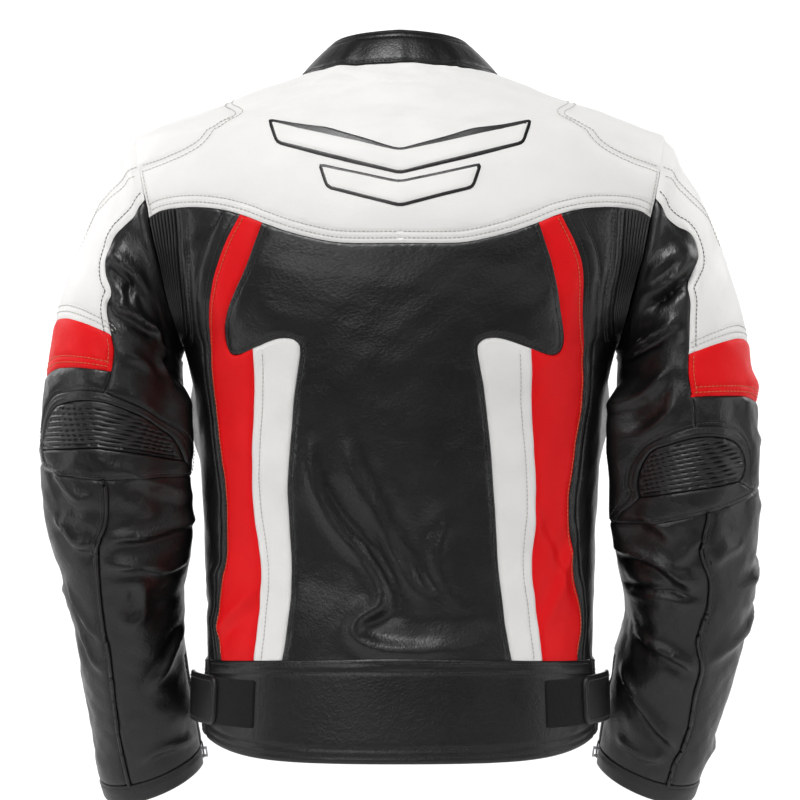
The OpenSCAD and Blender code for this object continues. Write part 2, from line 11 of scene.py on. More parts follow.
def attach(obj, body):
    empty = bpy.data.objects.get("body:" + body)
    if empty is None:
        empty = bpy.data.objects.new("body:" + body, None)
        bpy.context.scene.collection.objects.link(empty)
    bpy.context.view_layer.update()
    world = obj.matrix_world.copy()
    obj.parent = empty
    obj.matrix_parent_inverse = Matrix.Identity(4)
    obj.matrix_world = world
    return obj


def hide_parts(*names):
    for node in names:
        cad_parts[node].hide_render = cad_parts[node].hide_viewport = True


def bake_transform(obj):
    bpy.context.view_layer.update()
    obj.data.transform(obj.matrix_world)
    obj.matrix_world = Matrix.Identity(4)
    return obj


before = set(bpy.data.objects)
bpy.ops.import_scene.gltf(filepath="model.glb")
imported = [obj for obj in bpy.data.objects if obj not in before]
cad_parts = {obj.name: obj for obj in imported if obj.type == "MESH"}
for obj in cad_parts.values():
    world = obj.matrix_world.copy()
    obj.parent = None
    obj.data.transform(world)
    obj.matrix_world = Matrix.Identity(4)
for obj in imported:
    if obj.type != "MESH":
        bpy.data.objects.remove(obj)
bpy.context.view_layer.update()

MM = 0.001
TAU = 2 * math.pi


# ---- Small maths ---------------------------------------------------------------------


def smooth_table(pairs, x):
    """A smooth curve through (x, y) pairs that never overshoots them."""
    pairs = sorted(pairs)
    xs = np.array([p[0] for p in pairs], float)
    ys = np.array([p[1] for p in pairs], float)
    rise = np.diff(ys) / np.diff(xs)
    slope = np.zeros(len(xs))
    slope[0], slope[-1] = rise[0], rise[-1]
    inner = rise[:-1] * rise[1:] > 0
    mean = 2 * rise[:-1] * rise[1:] / np.where(inner, rise[:-1] + rise[1:], 1)
    slope[1:-1] = np.where(inner, mean, 0)
    x = np.clip(np.asarray(x, float), xs[0], xs[-1])
    i = np.clip(np.searchsorted(xs, x, side="right") - 1, 0, len(xs) - 2)
    h = xs[i + 1] - xs[i]
    t = (x - xs[i]) / h
    a, b = ys[i], ys[i + 1]
    return (
        a * (1 + 2 * t) * (1 - t) ** 2
        + b * t * t * (3 - 2 * t)
        + h * slope[i] * t * (1 - t) ** 2
        + h * slope[i + 1] * t * t * (t - 1)
    )


def spline(points, step=4.0, closed=False):
    """A rounded path through given points, sampled about every step."""
    p = np.array(points, float)
    if len(p) == 2 and not closed:
        n = max(2, int(np.linalg.norm(p[1] - p[0]) / step) + 1)
        return p[0] + (p[1] - p[0]) * np.linspace(0, 1, n)[:, None]
    before = p[-1:] if closed else 2 * p[:1] - p[1:2]
    after = p[:2] if closed else 2 * p[-1:] - p[-2:-1]
    q = np.vstack([before, p, after])
    out = []
    for i in range(len(q) - 3):
        a, b, c, d = q[i : i + 4]
        n = max(2, int(np.linalg.norm(c - b) / step) + 1)
        t = np.linspace(0, 1, n, endpoint=False)[:, None]
        out.append(
            b
            + 0.5 * t * (c - a)
            + t * t * (a - 2.5 * b + 2 * c - 0.5 * d)
            + t**3 * (1.5 * b - 1.5 * c + 0.5 * d - 0.5 * a)
        )
    if not closed:
        out.append(p[-1:])
    return np.vstack(out)


def resample(path, step):
    """The same path with points spaced evenly."""
    path = np.asarray(path, float)
    leg = np.linalg.norm(np.diff(path, axis=0), axis=1)
    at = np.concatenate([[0], np.cumsum(leg)])
    n = max(2, int(round(at[-1] / step)) + 1)
    where = np.linspace(0, at[-1], n)
    return np.column_stack([np.interp(where, at, path[:, k]) for k in range(path.shape[1])])


def ease(x):
    x = np.clip(x, 0, 1)
    return x * x * (3 - 2 * x)


def path_distance(points, path):
    """Distance from each point to a path, where along it, and on which side."""
    best = np.full(len(points), 1e9)
    along = np.zeros(len(points))
    side = np.zeros(len(points))
    run = 0.0
    for a, b in zip(path[:-1], path[1:]):
        d = b - a
        length = np.hypot(*d)
        if length < 1e-9:
            continue
        r = points - a
        t = np.clip(r @ d / length**2, 0, 1)
        gap = r - t[:, None] * d
        dist = np.hypot(gap[:, 0], gap[:, 1])
        near = dist < best
        best[near] = dist[near]
        along[near] = run + t[near] * length
        side[near] = np.sign(d[0] * r[near, 1] - d[1] * r[near, 0])
        run += length
    return best, along, side, run


def near_path(points, path, reach=8.0):
    """Distance to a path, worked out only where it is less than about reach."""
    out = np.full(len(points), 99.0)
    low, high = path.min(0) - reach, path.max(0) + reach
    close = np.all((points > low) & (points < high), axis=1)
    if close.any():
        out[close] = path_distance(points[close], resample(path, 5.0))[0]
    return out


def inside(points, ring):
    """Which points lie inside a closed outline."""
    x, y = points[:, 0], points[:, 1]
    hit = np.zeros(len(points), bool)
    for (x0, y0), (x1, y1) in zip(ring, np.roll(ring, -1, axis=0)):
        cross = (y0 > y) != (y1 > y)
        with np.errstate(divide="ignore", invalid="ignore"):
            at = (x1 - x0) * (y - y0) / (y1 - y0) + x0
        hit ^= cross & (x < at)
    return hit


# ---- The body's surface: the same shape as the CAD's ---------------------------------
# Millimetres inside these functions.  A torso point has an angle q, 0 at the middle of
# the back and 90 at the left side, and a height z.

HEM_Z, BAND_Z, ARMPIT_Z, SHOULDER_Z = -636, -540, -256, -60
NECK_HALF, NECK_SIDE_Z, NECK_FRONT_Z = 94, -3, -62
HEM_HALF, WAIST_HALF = 185, 181
ARM_X, ARM_LEAN, ARM_DEPTH = 225.5, 0.2296, 80
ARM_Z = (ARMPIT_Z + SHOULDER_Z) / 2
POWER_BACK, POWER_FRONT = 2.3, 2.6

SIDE_WIDTHS = [
    (-646, HEM_HALF + 1), (HEM_Z, HEM_HALF), (-590, WAIST_HALF + 2), (-548, WAIST_HALF),
    (-500, WAIST_HALF), (-456, WAIST_HALF + 1), (-400, 184.5), (-353, 187.5),
    (-300, 193), (-275, 198), (ARMPIT_Z, 203),
]
BACK_DEPTHS = [
    (-646, 119), (HEM_Z, 118), (BAND_Z, 112), (-456, 110), (-353, 121), (-266, 133),
    (-200, 138), (-150, 136), (-100, 122), (SHOULDER_Z, 105), (-30, 90), (0, 72), (14, 65),
]
FRONT_DEPTHS = [(-646, 128.3), (HEM_Z, 128), (NECK_FRONT_Z, 108), (-30, 92), (0, 72), (14, 65)]
NECK_DROP = [
    (0, NECK_FRONT_Z), (10, -56), (20, -43), (30, -30), (45, -16), (60, -8), (90, NECK_SIDE_Z),
]


def armhole_x(z):
    return ARM_X + (z - ARM_Z) * ARM_LEAN


def shoulder_x(z):
    slope = (armhole_x(SHOULDER_Z) - NECK_HALF) / (SHOULDER_Z - NECK_SIDE_Z)
    return NECK_HALF + slope * (z - NECK_SIDE_Z)


def half_width(z, front):
    """Half width of the whole cross-section, which runs on past the armhole."""
    z = np.asarray(z, float)
    low = smooth_table(SIDE_WIDTHS, z)
    t = np.clip(2 * (z - ARM_Z) / (SHOULDER_Z - ARMPIT_Z), -1, 1)
    arm_y = ARM_DEPTH * np.sqrt(1 - t * t)
    depth = smooth_table(FRONT_DEPTHS if front else BACK_DEPTHS, z)
    n = POWER_FRONT if front else POWER_BACK
    middle = armhole_x(z) / (1 - (arm_y / depth) ** n) ** (1 / n)
    return np.where(z < ARMPIT_Z, low, np.where(z < SHOULDER_Z, middle, shoulder_x(z)))


def torso_base(q, z):
    front = np.abs(q) > 90
    n = np.where(front, POWER_FRONT, POWER_BACK)
    a = np.where(front, half_width(z, True), half_width(z, False))
    b = np.where(front, smooth_table(FRONT_DEPTHS, z), smooth_table(BACK_DEPTHS, z))
    s = np.sin(np.radians(q))
    y = b * np.maximum(0, 1 - np.abs(s) ** n) ** (1 / n)
    return np.stack([a * s, np.where(front, -y, y), z + 0 * a], axis=-1)


# Rings down the left sleeve: outer x and z, inner x and z, centre y, half depth.
RINGS = [
    (armhole_x(SHOULDER_Z), SHOULDER_Z, armhole_x(ARMPIT_Z), ARMPIT_Z, 0, ARM_DEPTH),
    (264, -90, 203.5, -261, 2, 79), (283, -122, 204.5, -266, 4, 78),
    (299, -160, 204.5, -273, 6, 77), (313, -200, 204, -282, 9, 76),
    (324, -240, 203, -295, 12, 74), (331, -285, 202, -318, 15, 72),
    (335, -330, 201, -346, 16, 70), (336, -378, 200, -385, 12, 68),
    (334, -428, 201, -430, 3, 65), (329, -478, 204, -474, -10, 62),
    (322, -528, 206, -518, -25, 59), (313, -578, 203, -560, -42, 56),
    (304, -624, 197, -600, -58, 53), (296, -660, 193, -630, -70, 51),
    (288, -688, 190, -656, -80, 50),
]
RING_DIP = [0, 0, 0, 0, 0, 0, 0, 2, 8, 12, 15, 17, 17, 17, 17, 17]
LAST_RING = len(RINGS) - 1


def ring_value(k, column):
    values = RING_DIP if column == 6 else [r[column] for r in RINGS]
    return smooth_table(list(enumerate(values)), k)


def sleeve_base(psi, k):
    """psi is 0 on the outside of the arm, 90 at the back and 180 against the body."""
    v = [ring_value(k, c) for c in range(7)]
    outer = np.stack([v[0], 0 * v[0], v[1]], axis=-1)
    inner = np.stack([v[2], 0 * v[0], v[3]], axis=-1)
    dip = np.radians(v[6])
    centre = (outer + inner) / 2 + np.stack([0 * dip, v[4], 0 * dip], axis=-1)
    back = np.stack([0 * dip, np.cos(dip), -np.sin(dip)], axis=-1) * v[5][..., None]
    a = np.radians(psi)[..., None]
    return centre + (outer - inner) / 2 * np.cos(a) + back * np.sin(a)


# ---- Surfaces: a fine grid of points that panels are cut from ------------------------


class Surface:
    """Points over a flat domain (u, v) in millimetres, with folds worked in."""

    def __init__(self, u, v, grid, turn=1, side=1):
        self.u, self.v, self.grid = u, v, grid
        self.turn, self.side = turn, side  # turn is -1 where u runs clockwise
        self.rows = []  # stitch rows, which press a groove into the hide
        self.drift = None  # how far the seams sit to one side, as a function of (u, v)
        self.refresh()

    def refresh(self):
        g = self.grid
        wide = np.concatenate([g[-2:-1], g, g[1:2]], axis=0)
        du = wide[2:] - wide[:-2]
        dv = np.gradient(g, axis=1)
        n = np.cross(du, dv) * self.turn
        self.normal = n / np.maximum(1e-9, np.linalg.norm(n, axis=2, keepdims=True))

    def displace(self, amount):
        self.grid = self.grid + self.normal * amount[..., None]
        self.refresh()

    def domain(self):
        uu, vv = np.meshgrid(self.u, self.v, indexing="ij")
        return np.column_stack([uu.ravel(), vv.ravel()])

    def look_up(self, field, uv):
        x = (uv[:, 0] - self.u[0]) / (self.u[1] - self.u[0])
        y = (uv[:, 1] - self.v[0]) / (self.v[1] - self.v[0])
        x = np.mod(x, len(self.u) - 1)
        x = np.clip(x, 0, len(self.u) - 1.001)
        y = np.clip(y, 0, len(self.v) - 1.001)
        i, j = x.astype(int), y.astype(int)
        fx, fy = (x - i)[:, None], (y - j)[:, None]
        return (
            field[i, j] * (1 - fx) * (1 - fy)
            + field[i + 1, j] * fx * (1 - fy)
            + field[i, j + 1] * (1 - fx) * fy
            + field[i + 1, j + 1] * fx * fy
        )

    def at(self, uv, lift=0.0):
        uv = np.atleast_2d(uv)
        if self.drift:
            uv = uv + np.column_stack([self.drift(uv), 0 * uv[:, 0]])
        n = self.look_up(self.normal, uv)
        n = n / np.maximum(1e-9, np.linalg.norm(n, axis=1, keepdims=True))
        lift = np.broadcast_to(np.asarray(lift, float), (len(uv),))
        return self.look_up(self.grid, uv) + n * lift[:, None], n


Q_SCALE = 3.0  # domain millimetres per degree round the torso
TOP_STRETCH = 2.6  # the shoulders slope, so their heights are spread out
PSI_SCALE = 1.2


def z_to_v(z):
    z = np.asarray(z, float)
    return np.where(z < SHOULDER_Z, z, SHOULDER_Z + (z - SHOULDER_Z) * TOP_STRETCH)


def v_to_z(v):
    v = np.asarray(v, float)
    return np.where(v < SHOULDER_Z, v, SHOULDER_Z + (v - SHOULDER_Z) / TOP_STRETCH)


def torso_surface():
    u = np.linspace(-180, 180, 433) * Q_SCALE
    v = np.arange(z_to_v(-644), z_to_v(11), 2.5)
    uu, vv = np.meshgrid(u, v, indexing="ij")
    return Surface(u, v, torso_base(uu / Q_SCALE, v_to_z(vv)), turn=-1)


RING_RUN = np.concatenate([[0], np.cumsum(np.linalg.norm(np.diff(
    sleeve_base(np.full(16, 90.0), np.arange(16.0)), axis=0), axis=1))])


def k_to_v(k):
    return -np.interp(k, np.arange(16), RING_RUN)


def v_to_k(v):
    return np.interp(-np.asarray(v), RING_RUN, np.arange(16))


def sleeve_surface(side):
    u = np.linspace(-180, 180, 193) * PSI_SCALE
    v = np.linspace(k_to_v(LAST_RING), 0, 290)
    uu, vv = np.meshgrid(u, v, indexing="ij")
    return Surface(u, v, sleeve_base(uu / PSI_SCALE, v_to_k(vv)), side=side)


def back_uv(points):
    """Domain points for places on the back given as (x, z)."""
    p = np.array(points, float)
    a = half_width(p[:, 1], False)
    q = np.degrees(np.arcsin(np.clip(p[:, 0] / a, -1, 1)))
    return np.column_stack([q * Q_SCALE, z_to_v(p[:, 1])])


def front_uv(points):
    """The same for the front, with u from 90 to 180 degrees on the left."""
    p = np.array(points, float)
    a = half_width(p[:, 1], True)
    q = 180 - np.degrees(np.arcsin(np.clip(p[:, 0] / a, -1, 1)))
    return np.column_stack([q * Q_SCALE, z_to_v(p[:, 1])])


def sleeve_uv(points):
    """Domain points for places on a sleeve given as (ring, psi)."""
    p = np.array(points, float)
    return np.column_stack([p[:, 1] * PSI_SCALE, k_to_v(p[:, 0])])


# ---- How pieces ride -------------------------------------------------------------------


class Carrier:
    """Moves a piece with a body; given a second body, it bakes the piece's place into its mesh
    instead.
    """

    def __init__(self, name, body, other=None, start=None, end=None):
        self.name, self.body, self.other = name, body, other
        self.start, self.end = start, end

    def take(self, piece):
        if self.other:
            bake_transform(piece)
        else:
            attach(piece, self.body)


def along(direction, distance):
    d = np.array(direction, float)
    d /= np.linalg.norm(d)
    return tuple(d * distance * MM)


ELBOW_BEND = {"left": (358, 445), "right": (388, 470)}  # how far down the arm the elbow carrier starts and ends


def carriers(side):
    """The carriers of one arm: over the shoulder, over the elbow, and the forearm."""
    s = 1 if side == "left" else -1
    shoulder = Carrier(
        f"shoulder_{side}", "torso", f"sleeve_{side}",
        along((0.4 * s, 0, -0.917), 316), along((0.4 * s, 0, -0.917), 374))
    low, high = ELBOW_BEND[side]
    elbow = Carrier(
        f"elbow_{side}", f"sleeve_{side}", f"forearm_{side}",
        along((0.22 * s, 0, -0.975), low), along((0.22 * s, 0, -0.975), high))
    return {
        "shoulder": shoulder,
        "elbow": elbow,
        "forearm": Carrier(f"forearm_{side}", f"forearm_{side}"),
    }


TORSO = Carrier("torso", "torso")


# ---- Making meshes ---------------------------------------------------------------------


SHARP_ANGLE = 62  # edges sharper than this stay crisp


def new_mesh(name, verts, faces, material, carrier, attributes=None):
    mesh = bpy.data.meshes.new(name)
    mesh.from_pydata((np.asarray(verts) * MM).tolist(), [], faces)
    mesh.validate()
    mesh.update()
    for key, values in (attributes or {}).items():
        values = np.asarray(values, np.float32)
        kind = "FLOAT" if values.ndim == 1 else "FLOAT_VECTOR"
        att = mesh.attributes.new(key, kind, "POINT")
        att.data.foreach_set("value" if kind == "FLOAT" else "vector", values.ravel())
    mesh.polygons.foreach_set("use_smooth", [True] * len(mesh.polygons))
    mesh.set_sharp_from_angle(angle=math.radians(SHARP_ANGLE))
    mesh.materials.append(material)
    piece = bpy.data.objects.new(name, mesh)
    bpy.context.scene.collection.objects.link(piece)
    carrier.take(piece)
    return piece


def plain_skin(verts):
    """Leather coordinates for a piece that has no flat pattern."""
    return {"skin": verts * MM, "seam": np.zeros(len(verts))}


def shell(name, surface, uv, tris, rim, lift, thick, material, carrier, seam):
    """A closed piece from a flat triangulation: outer skin, inner skin and rim."""
    outer = surface.at(uv, lift)[0]
    inner = surface.at(uv, lift - thick)[0]
    count = len(uv)
    verts = np.vstack([outer, inner])
    faces = [tuple(t) for t in tris]
    faces += [tuple(i + count for i in reversed(t)) for t in tris]
    for a, b in rim:
        faces.append((b, a, a + count, b + count))
    if surface.side < 0:
        verts = verts * [-1, 1, 1]
    if surface.side * surface.turn < 0:
        faces = [f[::-1] for f in faces]
    flat = np.column_stack([uv, 0 * uv[:, 0]])
    skin = np.vstack([flat, flat + [0, 0, 3]]) * MM
    # The seam mask paints shade and grime into the colour near the seams; the inner skin takes it
    # in full.
    near = np.concatenate([seam, np.ones(count)])
    return new_mesh(
        name, verts, faces, material, carrier, {"skin": skin, "seam": near})


def edge_sink(distance, depth=1.5, reach=4.5):
    """Panels turn in towards their seams."""
    return -depth * (1 - np.clip(distance / reach, 0, 1)) ** 2


def outline(paths, step=3.2):
    """A closed outline from paths laid end to end, each keeping its own corners."""
    parts = []
    for path in paths:
        p = resample(path, step)
        if parts and np.hypot(*(p[0] - parts[-1][-1])) > np.hypot(*(p[-1] - parts[-1][-1])):
            p = p[::-1]
        parts.append(p)
    ring = np.vstack(parts)
    gap = np.linalg.norm(ring - np.roll(ring, 1, axis=0), axis=1)
    return ring[gap > 0.35]


GROOVE = 0.8  # how far a stitch row presses in


def cut(name, surface, paths, material, carrier, lift=0.0, thick=1.7, spacing=5.0,
        sink=1.5, shape=None, reach=4.5, flat=()):
    """A panel cut from a surface along a closed outline, with its edges turned in.

    flat lists the sides, by their place in paths, that run on into the next piece.
    """
    ring = outline(paths)
    area = 0.5 * np.sum(ring[:, 0] * np.roll(ring[:, 1], -1) - np.roll(ring[:, 0], -1) * ring[:, 1])
    if area < 0:
        ring = ring[::-1]
    tangent = np.roll(ring, -1, axis=0) - np.roll(ring, 1, axis=0)
    tangent /= np.maximum(1e-9, np.linalg.norm(tangent, axis=1, keepdims=True))
    inward = np.column_stack([-tangent[:, 1], tangent[:, 0]])
    closed = np.vstack([ring, ring[:1]])
    extra = []
    for d in (1.1, 2.4, 4.2):
        p = ring + inward * d
        gap = path_distance(p, closed)[0]
        extra.append(p[(gap > d * 0.93) & inside(p, ring)])
    low, high = ring.min(0), ring.max(0)
    xs = np.arange(low[0], high[0], spacing)
    ys = np.arange(low[1], high[1], spacing * 0.866)
    gx, gy = np.meshgrid(xs, ys)
    gx = gx + (np.arange(len(ys)) % 2)[:, None] * spacing / 2
    grid = np.column_stack([gx.ravel(), gy.ravel()])
    grid = grid[inside(grid, ring)]
    grid = grid[path_distance(grid, closed)[0] > 4.2 + spacing * 0.55]
    rows = [r for r in surface.rows if inside(r[::3], ring).any()]
    if rows:
        extra = [p[np.min([near_path(p, r) for r in rows], axis=0) > 2.1] for p in extra]
        grid = grid[np.min([near_path(grid, r) for r in rows], axis=0) > 2.6]
    for row in rows:
        line = resample(row, 2.6)
        tangent = np.gradient(line, axis=0)
        tangent /= np.maximum(1e-9, np.linalg.norm(tangent, axis=1, keepdims=True))
        for d in (-1.35, 0, 1.35):
            p = line + np.column_stack([-tangent[:, 1], tangent[:, 0]]) * d
            p = p[inside(p, ring)]
            if len(p):
                extra.append(p[path_distance(p, closed)[0] > 0.9])
    points = np.vstack([ring] + extra + [grid])
    n = len(ring)
    edges = [(i, (i + 1) % n) for i in range(n)]
    made = delaunay_2d_cdt(points.tolist(), edges, [], 1, 1e-5)
    uv = np.array([tuple(p) for p in made[0]])
    tris = [tuple(f) for f in made[2]]
    seen = {}
    for f in tris:
        for a, b in zip(f, f[1:] + f[:1]):
            if (b, a) in seen:
                del seen[(b, a)]
            else:
                seen[(a, b)] = True
    gap = path_distance(uv, closed)[0]
    if flat:
        turned = [path_distance(uv, resample(p, 3.2))[0] for i, p in enumerate(paths)
                  if i not in flat]
        gap = np.min(turned, axis=0)
    height = lift + edge_sink(gap, sink, reach)
    # Near the edges and stitch rows this mask paints shade into the seams and grooves, along with
    # grime, and rubs the hide lighter as wear.
    seam_shade_and_wear = np.exp(-gap / 4)
    for row in rows:
        d = near_path(uv, row)
        height = height - GROOVE * np.exp(-((d / 1.1) ** 2))
        seam_shade_and_wear = np.maximum(seam_shade_and_wear, 0.85 * np.exp(-((d / 1.2) ** 2)))
    if shape is not None:
        height = height + shape(uv, gap)
    return shell(name, surface, uv, tris, list(seen), height, thick, material, carrier,
                 seam_shade_and_wear)


def loft(rings, sides):
    """The faces between rings of points, each with the same number of points."""
    return [(i * sides + j, i * sides + (j + 1) % sides, (i + 1) * sides + (j + 1) % sides,
             (i + 1) * sides + j) for i in range(rings - 1) for j in range(sides)]


def tube(points, radius, sides):
    """Vertices and faces of a round cord along 3-D points."""
    p = np.asarray(points, float)
    d = np.gradient(p, axis=0)
    d /= np.maximum(1e-9, np.linalg.norm(d, axis=1, keepdims=True))
    ref = np.where(np.abs(d[:, 2:3]) < 0.9, [[0, 0, 1.0]], [[1.0, 0, 0]])
    a = np.cross(d, ref)
    a /= np.linalg.norm(a, axis=1, keepdims=True)
    b = np.cross(d, a)
    radius = np.broadcast_to(np.asarray(radius, float), (len(p),))
    turn = np.arange(sides) * TAU / sides
    ring = a[:, None] * np.cos(turn)[None, :, None] + b[:, None] * np.sin(turn)[None, :, None]
    verts = (p[:, None] + ring * radius[:, None, None]).reshape(-1, 3)
    last = (len(p) - 1) * sides
    faces = loft(len(p), sides)
    faces += [tuple(range(sides)[::-1]), tuple(last + j for j in range(sides))]
    return verts, faces


class Threads:
    """Collects stitches, to be made as one piece for each carrier and colour."""

    def __init__(self):
        self.groups = {}

    def add(self, carrier, colour, verts, faces):
        g = self.groups.setdefault((carrier.name, colour), [carrier, [], [], 0])
        g[1].append(verts)
        g[2] += [tuple(i + g[3] for i in f) for f in faces]
        g[3] += len(verts)

    def make(self, materials):
        for (name, colour), (carrier, verts, faces, _) in self.groups.items():
            new_mesh(f"stitching_{name}_{colour}", np.vstack(verts), faces,
                     materials[colour], carrier)


THREADS = Threads()
STITCH_PITCH, STITCH_LENGTH, STITCH_RADIUS, STITCH_SKIP = 4.0, 3.0, 0.42, 3.0


def stitch(surface, path, offset, colour, carrier, lift=0.0, per_point=None):
    """A row of stitches beside a seam, offset to the left of its direction.

    It presses a groove into the hide, unless its height is given point by point.
    """
    if per_point is not None:
        both = resample(np.column_stack([path, per_point]), 2.0)
        path, lift = both[:, :2], both[:, 2] + 0.2
    else:
        path = resample(path, 2.0)
    tangent = np.gradient(path, axis=0)
    tangent /= np.maximum(1e-9, np.linalg.norm(tangent, axis=1, keepdims=True))
    moved = path + np.column_stack([-tangent[:, 1], tangent[:, 0]]) * offset
    if per_point is None:
        surface.rows.append(moved)
        lift = lift - 0.5
    p, n = surface.at(moved, lift)
    run = np.concatenate([[0], np.cumsum(np.linalg.norm(np.diff(p, axis=0), axis=1))])
    starts = np.arange(STITCH_SKIP, run[-1] - STITCH_SKIP - STITCH_LENGTH, STITCH_PITCH)
    shape = np.linspace(0, 1, 5)
    for s in starts:
        at = s + shape * STITCH_LENGTH
        q = np.column_stack([np.interp(at, run, p[:, k]) for k in range(3)])
        m = np.column_stack([np.interp(at, run, n[:, k]) for k in range(3)])
        q = q + m * (np.sin(shape * math.pi) * 0.45 - 0.25)[:, None]
        verts, faces = tube(q, STITCH_RADIUS * (0.55 + 0.45 * np.sin(shape * math.pi)), 5)
        if surface.side < 0:
            verts = verts * [-1, 1, 1]
            faces = [f[::-1] for f in faces]
        THREADS.add(carrier, colour, verts, faces)


def piping(name, surface, path, radius, lift, material, carrier):
    p = surface.at(resample(path, 3.0), lift)[0]
    verts, faces = tube(p, radius, 10)
    if surface.side < 0:
        verts = verts * [-1, 1, 1]
        faces = [f[::-1] for f in faces]
    return new_mesh(name, verts, faces, material, carrier, attributes=plain_skin(verts))


# ---- Materials -------------------------------------------------------------------------


class Shader:
    """One material, built from nodes."""

    def __init__(self, name):
        self.material = bpy.data.materials.new(name)
        self.material.use_nodes = True
        self.tree = self.material.node_tree
        self.bsdf = self.tree.nodes["Principled BSDF"]

    def node(self, kind, inputs=None, **settings):
        n = self.tree.nodes.new(kind)
        for key, value in settings.items():
            setattr(n, key, value)
        for key, value in (inputs or {}).items():
            self.put(n.inputs[key], value)
        return n

    def put(self, socket, value):
        if isinstance(value, bpy.types.NodeSocket):
            self.tree.links.new(value, socket)
        else:
            socket.default_value = value

    def set(self, **values):
        for key, value in values.items():
            self.put(self.bsdf.inputs[key.replace("_", " ")], value)

    def skin(self):
        """Flat leather coordinates in metres, from the mesh."""
        return self.node("ShaderNodeAttribute", attribute_name="skin").outputs["Vector"]

    def place(self):
        return self.node("ShaderNodeTexCoord").outputs["Object"]

    def noise(self, where, scale, detail=2.0, rough=0.5):
        return self.node("ShaderNodeTexNoise", {
            "Vector": where, "Scale": scale, "Detail": detail, "Roughness": rough,
        }).outputs["Fac"]

    def cells(self, where, scale, feature="F1", dimensions="3D"):
        return self.node("ShaderNodeTexVoronoi", {"Vector": where, "Scale": scale},
                         feature=feature, voronoi_dimensions=dimensions).outputs["Distance"]

    def remap(self, value, low, high, to_low, to_high):
        return self.node("ShaderNodeMapRange", {
            "Value": value, "From Min": low, "From Max": high,
            "To Min": to_low, "To Max": to_high,
        }).outputs["Result"]

    def maths(self, operation, a, b=0.0):
        n = self.node("ShaderNodeMath", operation=operation)
        self.put(n.inputs[0], a)
        self.put(n.inputs[1], b)
        return n.outputs[0]

    def blend_colour(self, factor, a, b):
        n = self.node("ShaderNodeMix", data_type="RGBA")
        self.put(n.inputs[0], factor)
        self.put(n.inputs[6], a)
        self.put(n.inputs[7], b)
        return n.outputs[2]

    def bump(self, height, distance, strength=1.0, under=None):
        inputs = {"Height": height, "Distance": distance, "Strength": strength}
        if under is not None:
            inputs["Normal"] = under
        return self.node("ShaderNodeBump", inputs).outputs["Normal"]


def rgba(r, g, b):
    return (r, g, b, 1.0)


def leather(name, base, dark, pebble_mm, pebble_depth, gloss, crease=0.25, wear=None,
            shine=0.5):
    """Grained hide: pebbles, pores, soft wrinkles, grime and painted shade darkening the seams and
    stitch grooves, worn edges.
    """
    s = Shader(name)
    where = s.skin()
    pebble = s.cells(where, 1000 / pebble_mm)
    coarse = s.cells(where, 1000 / (pebble_mm * 2.7))
    pores = s.noise(where, 1000 / (pebble_mm * 0.45), 2)
    wrinkle = s.noise(where, 130, 4, 0.6)
    patches = s.noise(where, 22, 3)
    seam = s.node("ShaderNodeAttribute", attribute_name="seam").outputs["Fac"]
    n1 = s.bump(wrinkle, 0.0016, crease)
    n2 = s.bump(coarse, pebble_depth * 1.2 * MM, 0.5, n1)
    n3 = s.bump(pebble, pebble_depth * MM, 0.8, n2)
    n4 = s.bump(pores, pebble_depth * 0.35 * MM, 0.6, n3)
    tone = s.remap(patches, 0.3, 0.7, 0.0, 0.5)
    # Painted shade and grime: the colour darkens towards the seams and stitch grooves, and fully on
    # the inner skin.
    grime_and_seam_shade = s.maths("MULTIPLY", seam, 0.6)
    colour = s.blend_colour(s.maths("MAXIMUM", tone, grime_and_seam_shade), rgba(*base), rgba(*dark))
    if wear:
        rub = s.maths("MULTIPLY", s.remap(pores, 0.5, 0.75, 0, 1), s.remap(seam, 0.1, 0.7, 0, 0.7))
        colour = s.blend_colour(rub, colour, rgba(*wear))
    rough = s.maths("ADD", s.remap(patches, 0.3, 0.7, gloss, gloss + 0.09),
                    s.remap(pebble, 0.0, 0.6, 0.0, 0.10))
    s.set(Base_Color=colour, Roughness=rough, Normal=n4)
    s.set(Specular_IOR_Level=shine)
    return s.material


def fabric(name, base, dark, pitch_mm, depth, sheen=0.3, rough=0.9):
    """A woven or knitted cloth."""
    s = Shader(name)
    where = s.skin()
    mesh = s.cells(where, 1000 / pitch_mm)
    fuzz = s.noise(where, 2600, 3, 0.7)
    patches = s.noise(where, 30, 2)
    n = s.bump(mesh, depth * MM, 0.9)
    n = s.bump(fuzz, depth * 0.6 * MM, 0.7, n)
    s.set(Base_Color=s.blend_colour(s.remap(patches, 0.3, 0.7, 0, 1), rgba(*base), rgba(*dark)),
          Roughness=rough, Normal=n, Sheen_Weight=sheen)
    return s.material


def plush(name, base, pitch_mm=0.9, depth=0.9):
    """Hook-and-loop pile."""
    s = Shader(name)
    where = s.skin()
    loops = s.cells(where, 1000 / pitch_mm)
    fuzz = s.noise(where, 1500, 4, 0.8)
    n = s.bump(loops, depth * MM, 1.0)
    n = s.bump(fuzz, depth * 0.8 * MM, 0.9, n)
    tone = s.blend_colour(s.remap(fuzz, 0.35, 0.65, 0, 1), rgba(*base),
                          rgba(*[c * 2.2 for c in base]))
    s.set(Base_Color=tone, Roughness=1.0, Normal=n, Sheen_Weight=0.06, Sheen_Roughness=0.6,
          Specular_IOR_Level=0.2)
    return s.material


def thread(name, base):
    s = Shader(name)
    where = s.place()
    twist = s.noise(where, 2200, 2, 0.6)
    s.set(Base_Color=s.blend_colour(twist, rgba(*base), rgba(*[c * 0.6 for c in base])),
          Roughness=0.62, Normal=s.bump(twist, 0.0002, 0.8), Sheen_Weight=0.15)
    return s.material


